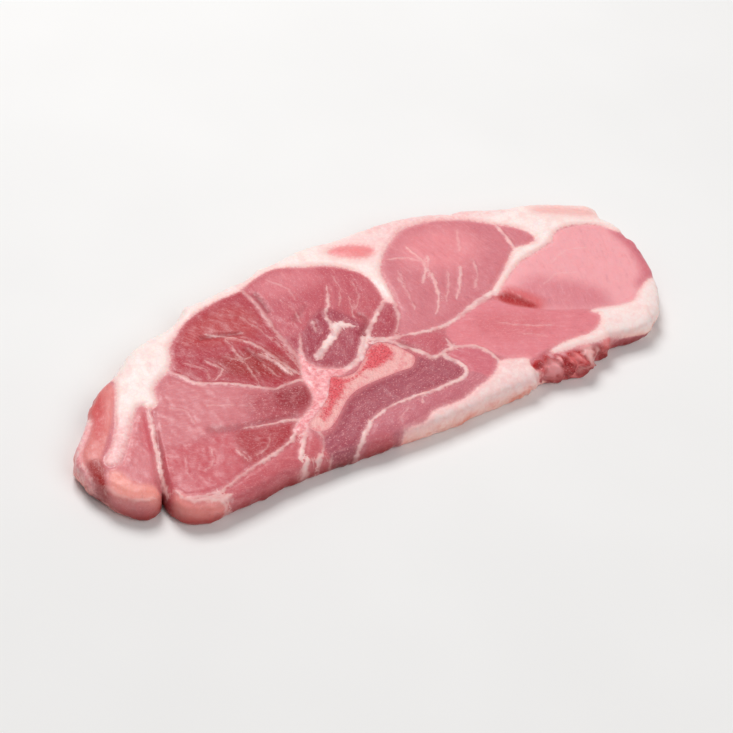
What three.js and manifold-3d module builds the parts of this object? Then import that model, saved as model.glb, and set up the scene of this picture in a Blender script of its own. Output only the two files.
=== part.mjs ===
// A raw bone-in pork shoulder steak: one slice sawn across the shoulder, lying flat with its cut face up.
// Lean meat runs round a sawn blade bone. A cap of fat lies along the back edge and sends tongues in
// between the muscles, and two strips of fat lie along the front edge.
// Millimetres, +Z up. The underside is flat at z = 0. +X runs along the slice, from its small lobe on the
// left to its broad end on the right, and +Y points to the cap of fat.
import * as THREE from 'three';
import { mergeVertices } from 'three/addons/utils/BufferGeometryUtils.js';
import Module from 'manifold-3d';

const wasm = await Module();
wasm.setup();

// Driving sizes
const LENGTH = 262;
const WIDTH = 111;
const THICKNESS = 11;
const HIGHEST_SWELL = 1.6;
const RIM_ROUND = 3.4;
const RIM_SQUARENESS = 0.62;
const RIM_RINGS = 7;
const EDGE_DROP = 1.7;
const EDGE_REACH = 4.2;
const FACE_CELL = 3.3;
const FACE_MARGIN = 6.6;
const RIM_STEP = 4.0;
const SEAM_STEP = 3.2;
const NODE_GAP = 0.3;
const BONE_PROUD = 0.25;
const FACE_SETTLE = 0.3;
const FACE_CLEAR = 0.2;
const CUTTER_PAST = 5;

// The main slab's rim, from the notch beside the lobe, along the back and round to the front
const MAIN_RIM = [
  [-108, -14], [-101, 2], [-97, 15], [-102, 23], [-107, 30], [-99, 34.6], [-91, 38.6], [-85, 42.6],
  [-74, 45], [-60, 47], [-51, 51.5],
  [-30, 52.3], [-14, 54.3], [2, 55.5], [20, 53.4], [40, 51.6], [58, 47.8], [76, 41.2], [94, 32.8],
  [112, 25.4], [124, 18.6], [130, 12], [128.6, 5], [131, -4], [128.5, -18], [122, -33], [113, -44],
  [103, -51.5], [92, -51.2], [84, -50.6], [77, -52.2], [71, -51.6], [64, -55.6], [55, -53.4],
  [48, -50.4], [36, -50], [18, -48.6], [0, -47.2], [-22, -44.6], [-46, -40.2], [-68, -37.4],
  [-88, -37], [-101, -36], [-109, -31.6], [-111, -23],
];

// The small lobe at the left end, whose right side lies inside the main slab
const LOBE_RIM = [
  [-90, 25], [-97, 28], [-105, 30.4], [-113, 25], [-122, 17.6], [-129, 10], [-131, 0], [-129, -11],
  [-122.5, -20], [-114, -21.6], [-107.5, -15], [-98, -5], [-89, 7], [-86, 17],
];

// Slow waves of the relaxed meat: [rise, span along X, span along Y, start]
const WAVES = [
  [0.3, 23, 30, 0.6],
  [0.25, 11, -14, 0],
];

// The lean muscle's own bulges: [x, y, half length, half width, turn in degrees, height]
const SWELLS = [
  [-70, 8, 30, 16, 34, 0.8],
  [-78, -18, 26, 12, -6, 0.6],
  [-14, 24, 17, 20, 0, 0.9],
  [-17, 3, 12, 7, 20, -0.5],
  [52, 14, 34, 12, -28, 0.7],
  [88, -16, 30, 15, -22, 1.0],
  [-10, -27, 30, 5, 8, -0.4],
  [-84, 34, 9, 7, 10, 0.7],
  [20, 41, 9, 5, -10, 0.6],
  [-120, 6, 8, 12, -30, 0.5],
  [64, -50, 7, 4, 0, 0.9],
  [78, -48, 5, 3.5, 0, 0.7],
  [102, -45, 9, 5, 30, 0.6],
];

// The furrow between the lobe and the rest: points along it and how deep it lies at each
const FURROW = [[-114, -26, 4.6], [-108, -12, 3.4], [-101, 1, 2.6], [-96, 11, 1.7], [-92, 19, 0]];
const FURROW_ROUND = 3;
const FURROW_STEPS = 16;
const FURROW_SEGMENTS = 6;

// Where two muscles meet the face dips: points along each seam, its depth and its half width
const CREASES = [
  { depth: 0.9, spread: 2.4, path: [[-77, 26], [-72, 15], [-60, 5], [-48, -3], [-37, -4], [-31, -2]] },
  { depth: 0.8, spread: 2.2, path: [[-29, 44], [-28, 32], [-30, 16], [-31, 6], [-34, -1]] },
  { depth: 0.9, spread: 2.4, path: [[92, 8], [75, 3], [60, -4], [47, -7], [30, -10], [22, -21], [32, -28]] },
  { depth: 0.7, spread: 2.2, path: [[-47, -43], [-30, -33], [-12, -32], [6, -34], [17, -32], [16, -22]] },
  { depth: 0.8, spread: 2.2, path: [[-54, -18], [-66, -14], [-72, -10]] },
  { depth: 0.8, spread: 2.2, path: [[-98, -31], [-84, -28], [-66, -27], [-55, -22]] },
  { depth: 1.3, spread: 2.0, path: [[44, -44], [56, -46], [68, -46], [80, -50]] },
];

// Fat along the back: the patch beside the lobe, its tongue into the lobe, the band and its two tongues
const FAT_CAP = [
  [-107, 40], [-107, 28], [-112, 15], [-120, 3], [-124.5, -2.5], [-119.5, -5], [-109, 7], [-100.5, 19],
  [-95, 20.5], [-92, 15.5], [-88.5, 19.5], [-82, 24.5], [-76, 27], [-72.5, 32], [-68, 38], [-58, 43],
  [-47, 46], [-30, 46.6], [-14, 47.8], [-2, 45], [9, 40], [17, 31], [19, 22], [16, 12], [11.5, 3],
  [15.5, 2], [21, 12], [25, 22], [33, 32], [45, 40], [58, 39.8], [73, 34], [86, 25], [92, 16],
  [82, 8], [68, 2], [55, -3.5], [57, -7], [72, -1.5], [86, 3.5], [98, 9.5], [108, 7], [118, 1], [126, -5],
  [136, -7], [140, 24], [100, 46], [60, 66], [0, 66], [-60, 66], [-100, 56],
];

// Fat along the front: a strip under the small dark muscle, and a wider patch at the broad end
const FAT_FRONT = [
  [-31, -58], [-26, -45.5], [-16, -42], [2, -42.6], [18, -41.8], [25, -40.6], [31, -37.4], [38, -39.4],
  [39.5, -45], [37.5, -58],
];
const FAT_BROAD_END = [
  [51, -41.4], [60, -41], [72, -41.6], [84, -39.4], [96, -37.8], [108, -37.6], [117, -34], [131, -36],
  [124, -56], [96, -64], [91, -54], [80, -48.6], [70, -45.4], [58, -45.6],
];

// The sawn blade bone, bent like a boomerang
const BLADE_BONE = [
  [-28.5, -8.5], [-20, -11.2], [-12, -7.4], [-3, -3.2], [2, -7], [5.4, -15], [0, -20.6], [-12, -19.4],
  [-24, -19], [-36, -24], [-46, -28.8], [-51.6, -25], [-46, -20.4], [-37, -16.4], [-32, -11],
];

// A closed curve through hand-set points, cut into steps of even length
function closedCurve(points, step) {
  const corners = points.map(([x, y]) => new THREE.Vector3(x, y, 0));
  const curve = new THREE.CatmullRomCurve3(corners, true, 'centripetal');
  const count = Math.round(curve.getLength() / step);
  const ring = curve.getSpacedPoints(count).slice(0, count);
  const flat = ring.map((point) => new THREE.Vector2(point.x, point.y));
  return THREE.ShapeUtils.isClockWise(flat) ? flat.reverse() : flat;
}

// The same curve moved out along its own normals, or in where the distance is negative
function offsetCurve(ring, distance) {
  return ring.map((point, i) => {
    const before = ring[(i + ring.length - 1) % ring.length];
    const after = ring[(i + 1) % ring.length];
    const along = after.clone().sub(before).normalize();
    return new THREE.Vector2(point.x + along.y * distance, point.y - along.x * distance);
  });
}

// A closed body from rings of equal count, stacked from the lowest to the highest
function stackRings(rings) {
  const count = rings[0].points.length;
  const positions = [];
  const index = [];
  for (const { points, z } of rings) {
    for (const point of points) positions.push(point.x, point.y, z);
  }
  for (let level = 0; level < rings.length - 1; level += 1) {
    for (let i = 0; i < count; i += 1) {
      const a = level * count + i;
      const b = level * count + ((i + 1) % count);
      index.push(a, b, b + count, a, b + count, a + count);
    }
  }
  const top = (rings.length - 1) * count;
  for (const [a, b, c] of THREE.ShapeUtils.triangulateShape(rings[0].points, [])) index.push(a, c, b);
  for (const [a, b, c] of THREE.ShapeUtils.triangulateShape(rings.at(-1).points, [])) {
    index.push(top + a, top + b, top + c);
  }
  const geometry = new THREE.BufferGeometry();
  geometry.setAttribute('position', new THREE.Float32BufferAttribute(positions, 3));
  geometry.setIndex(index);
  return geometry;
}

// A slab whose rim is a squared half round from the underside to the top
function roundedSlab(points, height) {
  const outline = closedCurve(points, RIM_STEP);
  const rings = [];
  for (let i = 0; i <= RIM_RINGS; i += 1) {
    const angle = Math.PI * (i / RIM_RINGS - 0.5);
    const inset = RIM_ROUND * (1 - Math.max(Math.cos(angle), 0) ** RIM_SQUARENESS);
    rings.push({ points: offsetCurve(outline, -inset), z: height * 0.5 * (1 + Math.sin(angle)) });
  }
  return stackRings(rings);
}

// An upright prism that reaches past both faces of the slice
function prism(ring) {
  return stackRings([
    { points: ring, z: -CUTTER_PAST },
    { points: ring, z: THICKNESS + HIGHEST_SWELL + CUTTER_PAST },
  ]);
}

// The shortest way from a point to a line of points
function distanceToPath(x, y, path, closed) {
  let nearest = Infinity;
  const legs = closed ? path.length : path.length - 1;
  for (let i = 0; i < legs; i += 1) {
    const [ax, ay] = path[i];
    const [bx, by] = path[(i + 1) % path.length];
    const legX = bx - ax;
    const legY = by - ay;
    const along = ((x - ax) * legX + (y - ay) * legY) / (legX * legX + legY * legY);
    const part = Math.min(Math.max(along, 0), 1);
    nearest = Math.min(nearest, Math.hypot(x - ax - legX * part, y - ay - legY * part));
  }
  return nearest;
}

// The height of one muscle's bulge, a bell over a turned ellipse
function swellAt(x, y, [cx, cy, halfLength, halfWidth, turn, height]) {
  const angle = THREE.MathUtils.degToRad(turn);
  const u = ((x - cx) * Math.cos(angle) + (y - cy) * Math.sin(angle)) / halfLength;
  const v = ((y - cy) * Math.cos(angle) - (x - cx) * Math.sin(angle)) / halfWidth;
  return height * Math.exp(-(u * u + v * v));
}

// The cut face: slow waves of the relaxed meat, bulges, seams, and a fall towards the rim
function faceHeight(x, y, rimDistance) {
  let height = THICKNESS - FACE_SETTLE;
  for (const [rise, spanX, spanY, start] of WAVES) height += rise * Math.sin(x / spanX + y / spanY + start);
  for (const swell of SWELLS) height += swellAt(x, y, swell);
  for (const { depth, spread, path } of CREASES) {
    height -= depth * Math.exp(-((distanceToPath(x, y, path, false) / spread) ** 2));
  }
  height -= EDGE_DROP * Math.exp(-((rimDistance / EDGE_REACH) ** 2));
  return Math.min(height, THICKNESS + HIGHEST_SWELL - FACE_CLEAR);
}

// A block whose top is the cut face, on a grid of square cells a little larger than the slice
function faceBlock() {
  const rims = [MAIN_RIM, LOBE_RIM].map((points) => closedCurve(points, RIM_STEP).map((p) => [p.x, p.y]));
  const columns = Math.ceil((LENGTH + 2 * FACE_MARGIN) / FACE_CELL);
  const rows = Math.ceil((WIDTH + 2 * FACE_MARGIN) / FACE_CELL);
  const plane = new THREE.PlaneGeometry(columns * FACE_CELL, rows * FACE_CELL, columns, rows);
  const spots = plane.getAttribute('position');
  const positions = [];
  for (let i = 0; i < spots.count; i += 1) {
    const x = spots.getX(i);
    const y = spots.getY(i);
    const reach = rims.map((rim) => signedDistance(x, y, rim));
    positions.push(x, y, faceHeight(x, y, Math.min(...reach, 0)));
  }
  for (let i = 0; i < spots.count; i += 1) positions.push(spots.getX(i), spots.getY(i), -CUTTER_PAST);
  const index = [...plane.index.array];
  const low = spots.count;
  for (let i = 0; i < plane.index.count; i += 3) {
    const [a, b, c] = plane.index.array.slice(i, i + 3);
    index.push(low + a, low + c, low + b);
  }
  for (const [a, b] of borderEdges(columns, rows)) index.push(a, low + a, low + b, a, low + b, b);
  const geometry = new THREE.BufferGeometry();
  geometry.setAttribute('position', new THREE.Float32BufferAttribute(positions, 3));
  geometry.setIndex(index);
  return geometry;
}

// The grid's outer edges, walked counter-clockwise seen from above
function borderEdges(columns, rows) {
  const corner = (column, row) => row * (columns + 1) + column;
  const walk = [];
  for (let row = 0; row < rows; row += 1) walk.push(corner(0, row));
  for (let column = 0; column < columns; column += 1) walk.push(corner(column, rows));
  for (let row = rows; row > 0; row -= 1) walk.push(corner(columns, row));
  for (let column = columns; column > 0; column -= 1) walk.push(corner(column, 0));
  return walk.map((from, i) => [from, walk[(i + 1) % walk.length]]);
}

// Whether a point lies inside a closed outline
function insideOf(rim, x, y) {
  let inside = false;
  for (let i = 0; i < rim.length; i += 1) {
    const [ax, ay] = rim[i];
    const [bx, by] = rim[(i + 1) % rim.length];
    if ((ay > y) !== (by > y) && x < ax + ((y - ay) / (by - ay)) * (bx - ax)) inside = !inside;
  }
  return inside;
}

// The distance to a closed outline, negative for a point inside it
function signedDistance(x, y, rim) {
  const distance = distanceToPath(x, y, rim, true);
  return insideOf(rim, x, y) ? -distance : distance;
}

// Solids that can be joined and cut
function toSolid(geometry) {
  const merged = mergeVertices(geometry);
  return new wasm.Manifold(new wasm.Mesh({
    numProp: 3,
    vertProperties: new Float32Array(merged.getAttribute('position').array),
    triVerts: new Uint32Array(merged.index.array),
  }));
}

function toGeometry(solid) {
  const mesh = solid.getMesh();
  const geometry = new THREE.BufferGeometry();
  geometry.setAttribute('position', new THREE.Float32BufferAttribute(mesh.vertProperties, 3));
  geometry.setIndex([...mesh.triVerts]);
  geometry.computeVertexNormals();
  return geometry;
}

// A region of the slice: the piece inside it, and the room it takes out of its neighbour
function region(points) {
  const ring = closedCurve(points, SEAM_STEP);
  return {
    piece: toSolid(prism(offsetCurve(ring, -NODE_GAP / 2))),
    room: toSolid(prism(offsetCurve(ring, NODE_GAP / 2))),
  };
}

// A round bar along the furrow, to be cut out of the face
function furrowBar() {
  const spine = FURROW.map(([x, y, depth]) => new THREE.Vector3(x, y, THICKNESS + FURROW_ROUND - depth));
  const section = new THREE.Shape().absarc(0, 0, FURROW_ROUND, 0, Math.PI * 2);
  const bar = new THREE.ExtrudeGeometry(section, {
    steps: FURROW_STEPS,
    curveSegments: FURROW_SEGMENTS,
    extrudePath: new THREE.CatmullRomCurve3(spine),
  });
  bar.deleteAttribute('normal');
  bar.deleteAttribute('uv');
  return bar;
}

// The whole slice in one body, before it is divided into lean, fat and bone
function buildSlice() {
  const height = THICKNESS + HIGHEST_SWELL;
  const slabs = toSolid(roundedSlab(MAIN_RIM, height)).add(toSolid(roundedSlab(LOBE_RIM, height)));
  return slabs.intersect(toSolid(faceBlock())).subtract(toSolid(furrowBar()));
}

// The bone, sawn level with the underside and a little proud of the meat that has settled round it
function buildBone(bone) {
  const level = THICKNESS + BONE_PROUD;
  const block = new THREE.BoxGeometry(LENGTH, WIDTH, level);
  block.deleteAttribute('normal');
  block.deleteAttribute('uv');
  block.translate(0, 0, level / 2);
  return bone.piece.intersect(toSolid(block));
}

function addPart(group, name, solid, look) {
  const mesh = new THREE.Mesh(toGeometry(solid), new THREE.MeshStandardMaterial(look));
  mesh.name = name;
  group.add(mesh);
}

const LEAN_LOOK = { color: 0xcc6a72, roughness: 0.38, metalness: 0 };
const FAT_LOOK = { color: 0xf6e2d9, roughness: 0.42, metalness: 0 };
const BONE_LOOK = { color: 0xecc4b8, roughness: 0.5, metalness: 0 };

const slice = buildSlice();
const cap = region(FAT_CAP);
const front = region(FAT_FRONT);
const broadEnd = region(FAT_BROAD_END);
const bone = region(BLADE_BONE);
const lean = [cap, front, broadEnd, bone].reduce((rest, part) => rest.subtract(part.room), slice);

const steak = new THREE.Group();
addPart(steak, 'lean_meat', lean, LEAN_LOOK);
addPart(steak, 'fat_cap', slice.intersect(cap.piece), FAT_LOOK);
addPart(steak, 'fat_strip_front', slice.intersect(front.piece), FAT_LOOK);
addPart(steak, 'fat_patch_broad_end', slice.intersect(broadEnd.piece), FAT_LOOK);
addPart(steak, 'blade_bone', buildBone(bone), BONE_LOOK);

export default steak;
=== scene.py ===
"""A raw bone-in pork shoulder steak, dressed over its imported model.

The slice lies flat with its cut face up. One unbroken body of meat and fat replaces the model's lean and fat
solids, and a sawn blade bone sits in the hole that the body leaves for it. Lengths in the tables are
millimetres in the model's own frame: +X runs to the broad end, +Y to the cap of fat and +Z up.
"""
import logging
from dataclasses import dataclass, field
from enum import Enum

import bpy
import numpy as np
from mathutils import Matrix, Vector


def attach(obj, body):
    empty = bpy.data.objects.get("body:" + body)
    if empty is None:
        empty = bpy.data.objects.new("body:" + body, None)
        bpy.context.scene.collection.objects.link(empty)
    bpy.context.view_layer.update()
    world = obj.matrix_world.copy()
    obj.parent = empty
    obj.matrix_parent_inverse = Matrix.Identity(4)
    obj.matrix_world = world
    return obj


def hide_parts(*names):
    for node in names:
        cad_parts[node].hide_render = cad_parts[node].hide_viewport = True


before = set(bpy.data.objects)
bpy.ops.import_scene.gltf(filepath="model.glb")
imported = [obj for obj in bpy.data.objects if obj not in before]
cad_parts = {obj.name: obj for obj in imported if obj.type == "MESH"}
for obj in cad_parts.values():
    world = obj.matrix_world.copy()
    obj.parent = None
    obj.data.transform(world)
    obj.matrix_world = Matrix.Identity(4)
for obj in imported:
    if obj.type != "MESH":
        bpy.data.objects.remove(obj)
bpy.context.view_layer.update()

LOG = logging.getLogger("steak")
MM = 0.001

# The sawn thickness of the slice, and the height of the bone's sawn face
THICKNESS = 11.0
BONE_LEVEL = 10.8

Outline = tuple[tuple[float, float], ...]
Colour = tuple[float, float, float, float]
Layers = tuple[tuple[float, float, int], ...]
Socket = bpy.types.NodeSocket
Input = Socket | float | Colour | None

# The edge of the slice, from the notch beside the lobe along the front, the broad end and the back
EDGE: Outline = (
    (-111.6, -18.8), (-112.2, -22.6), (-111.8, -27.2), (-109.4, -31.6), (-105.0, -34.6), (-99.0, -36.3),
    (-88.0, -37.0), (-76.0, -37.5), (-68.0, -37.3), (-58.0, -38.7), (-46.0, -40.3), (-34.0, -42.6),
    (-22.0, -44.5), (-10.0, -46.4), (4.0, -47.6), (18.0, -48.8), (32.0, -49.5), (40.0, -50.4),
    (46.0, -49.7), (51.0, -51.8), (57.0, -54.1), (62.0, -55.3), (66.5, -54.8), (69.5, -52.6),
    (73.0, -51.9), (77.0, -52.0), (81.0, -50.3), (86.0, -50.2), (91.0, -51.4), (96.0, -52.3),
    (101.0, -52.1), (106.0, -49.8), (111.5, -45.6), (116.0, -41.8), (121.0, -34.6), (125.5, -25.8),
    (128.4, -18.0), (130.2, -12.6), (129.2, -9.4), (130.9, -3.8), (129.8, 1.4), (128.3, 6.2),
    (130.0, 11.2), (128.8, 14.6), (123.5, 18.6), (113.0, 25.0), (103.0, 29.5), (93.0, 33.0), (86.0, 37.2),
    (79.5, 40.5), (73.0, 41.7), (67.0, 44.8), (59.0, 47.5), (51.0, 49.9), (38.0, 51.8), (20.0, 53.2),
    (9.0, 54.8), (1.0, 55.4), (-8.0, 54.1), (-15.6, 54.4), (-20.5, 52.7), (-38.0, 52.4), (-47.0, 51.9),
    (-52.5, 51.4), (-59.0, 47.8), (-65.0, 46.2), (-73.0, 45.3), (-79.5, 44.3), (-85.0, 42.5),
    (-91.0, 38.6), (-95.5, 35.7), (-101.0, 34.0), (-106.5, 31.0), (-111.0, 27.6), (-120.0, 19.0),
    (-125.5, 14.4), (-129.8, 9.4), (-130.9, 1.0), (-130.6, -5.0), (-129.0, -11.0), (-126.4, -16.4),
    (-122.4, -20.6), (-117.8, -22.6), (-114.3, -21.9), (-112.6, -20.0),
)

# Fat that lies between the muscles and along the edge
FAT_CAP: Outline = (
    (-96.0, 46.0), (-97.0, 33.0), (-99.5, 27.5), (-104.5, 20.5), (-108.5, 14.5), (-113.0, 9.0),
    (-117.5, 4.5), (-122.0, 1.5), (-122.5, -1.5), (-118.5, -2.5), (-113.0, 1.5), (-107.0, 7.5),
    (-101.5, 13.5), (-96.5, 17.0), (-93.5, 14.0), (-90.5, 14.5), (-87.5, 21.0), (-83.0, 24.0),
    (-77.5, 26.0), (-73.5, 30.5), (-70.0, 36.0), (-65.0, 39.5), (-58.5, 43.5), (-52.0, 45.5),
    (-38.5, 46.8), (-31.5, 46.5), (-21.0, 49.0), (-13.5, 49.8), (-8.5, 48.5), (-1.5, 44.5), (7.5, 40.5),
    (14.0, 35.0), (17.5, 29.0), (17.5, 22.0), (15.8, 13.0), (17.0, 10.0), (18.8, 12.0), (21.0, 18.0),
    (24.0, 26.0), (28.0, 30.5), (34.5, 35.5), (42.5, 39.5), (48.0, 41.5), (55.5, 41.0), (63.0, 39.5),
    (74.0, 34.0), (82.0, 27.0), (87.5, 21.5), (91.0, 17.0), (93.0, 11.5), (91.5, 7.2), (86.0, 8.5),
    (81.5, 9.0), (77.0, 7.0), (70.5, 2.5), (63.0, -1.6), (56.0, -5.8), (57.0, -7.2), (62.0, -4.4),
    (69.0, -1.4), (77.5, 1.6), (89.0, 2.8), (97.5, 4.8), (103.0, 7.6), (110.0, 7.8), (116.5, 5.6),
    (123.0, 1.0), (127.0, -5.0), (136.0, -8.0), (140.0, 24.0), (100.0, 46.0), (60.0, 66.0), (0.0, 66.0),
    (-60.0, 66.0),
)
FAT_FRONT: Outline = (
    (-25.0, -50.0), (-22.5, -43.8), (-18.0, -43.2), (-12.5, -43.8), (-7.0, -41.8), (0.5, -42.4),
    (8.0, -42.8), (15.5, -41.4), (21.5, -40.6), (27.5, -38.6), (31.5, -35.8), (37.5, -38.0),
    (42.0, -41.2), (41.0, -44.6), (43.6, -47.4), (40.6, -49.6), (42.0, -54.0), (36.5, -60.0),
    (4.0, -60.0),
)
FAT_BROAD_END: Outline = (
    (51.5, -43.0), (56.5, -42.0), (65.0, -42.4), (73.5, -43.4), (80.5, -41.4), (84.0, -37.5),
    (82.0, -34.6), (89.0, -35.8), (96.5, -38.6), (102.5, -39.0), (108.5, -36.0), (118.5, -33.0),
    (131.0, -36.0), (122.0, -58.0), (99.0, -58.0), (89.0, -51.8), (80.5, -48.8), (73.0, -48.6),
    (64.5, -46.6), (56.0, -45.2),
)
FAT_WEB: Outline = (
    (-31.0, 7.0), (-30.5, 3.0), (-28.5, -2.0), (-24.5, -5.0), (-20.5, -8.2), (-26.5, -9.4), (-33.0, -8.4),
    (-37.5, -8.0), (-37.0, -3.0), (-34.5, 1.5),
)
LOBE_SKIN: Outline = (
    (-116.0, 27.0), (-114.5, 21.0), (-120.0, 14.8), (-126.6, 8.8), (-128.8, 2.0), (-129.6, -5.0),
    (-130.4, -11.0), (-137.0, -10.0), (-138.0, 8.0), (-126.0, 20.0),
)
GRISTLE: Outline = (
    (-37.0, -2.5), (-31.5, -3.5), (-30.5, -9.0), (-34.0, -14.2), (-40.0, -18.6), (-46.0, -21.0),
    (-51.0, -23.6), (-55.6, -25.2), (-57.2, -22.8), (-51.5, -19.4), (-45.8, -17.2), (-40.6, -13.4),
    (-38.4, -8.0),
)
CRAG: Outline = (
    (41.0, -44.0), (48.0, -43.5), (54.0, -46.6), (64.5, -48.2), (73.0, -49.8), (81.0, -50.8),
    (86.0, -56.0), (60.0, -62.0), (38.0, -58.0),
)

# The blade bone as the saw left it, and the marrow in it
BLADE_BONE: Outline = (
    (-28.5, -8.5), (-24.8, -10.6), (-19.5, -11.2), (-13.5, -8.2), (-7.0, -4.2), (-2.4, -3.4), (1.5, -6.4),
    (4.0, -11.5), (5.2, -17.0), (1.0, -20.6), (-5.5, -20.0), (-12.5, -19.4), (-19.0, -18.9),
    (-25.5, -19.2), (-31.0, -21.0), (-36.0, -24.0), (-41.5, -27.2), (-46.5, -28.8), (-50.8, -26.9),
    (-51.4, -23.6), (-46.5, -20.6), (-41.0, -18.4), (-36.0, -15.4), (-32.0, -11.4),
)
MARROW_LONG: Outline = (
    (-30.5, -8.4), (-26.5, -9.8), (-25.6, -13.4), (-30.0, -16.6), (-36.0, -20.0), (-41.0, -22.8),
    (-45.0, -24.4), (-43.0, -21.4), (-37.5, -17.6), (-33.4, -12.6),
)
MARROW_HEAD: Outline = (
    (-14.5, -11.6), (-10.6, -7.6), (-5.6, -4.6), (-2.0, -4.6), (-0.4, -8.0), (-1.6, -11.4), (-7.6, -13.4),
    (-13.0, -13.2),
)
MARROW_FAINT: Outline = (
    (-27.0, -10.6), (-20.0, -11.8), (-13.0, -8.6), (-12.0, -11.6), (-19.5, -14.6), (-27.0, -15.0),
)


def tint(red: float, green: float, blue: float, veil: float = 0.0) -> Colour:
    """Turn a colour as seen, 0 to 255, into the linear one that shaders use.

    Args:
        red: the colour's red.
        green: the colour's green.
        blue: the colour's blue.
        veil: the white that a wet gloss lays over it, taken off again here.

    Returns:
        The linear colour.
    """
    seen = np.array((red, green, blue)) / 255.0
    linear = np.where(seen <= 0.04045, seen / 12.92, ((seen + 0.055) / 1.055) ** 2.4)
    linear = np.maximum(linear - veil, 0.2 * linear)
    return (float(linear[0]), float(linear[1]), float(linear[2]), 1.0)


@dataclass(frozen=True)
class Muscle:
    """One muscle, or a darker or paler part of one.

    Attributes:
        outline: the edge of the area.
        colour: the colour as seen, 0 to 255.
        blend: how softly it passes into what lies round it.
        grain: the way its fibres run, in degrees from +X.
        speckle: how strongly fine pale flecks show in it.
    """

    outline: Outline
    colour: tuple[float, float, float]
    blend: float = 1.2
    grain: float = 0.0
    speckle: float = 0.5


@dataclass(frozen=True)
class Vein:
    """A line of fat or of connective tissue on the cut face.

    Attributes:
        path: points along the line.
        start: half its width at the first point.
        end: half its width at the last point.
        strength: how strongly it shows, from 0 to 1.
    """

    path: Outline
    start: float = 0.6
    end: float = 0.6
    strength: float = 1.0


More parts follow.
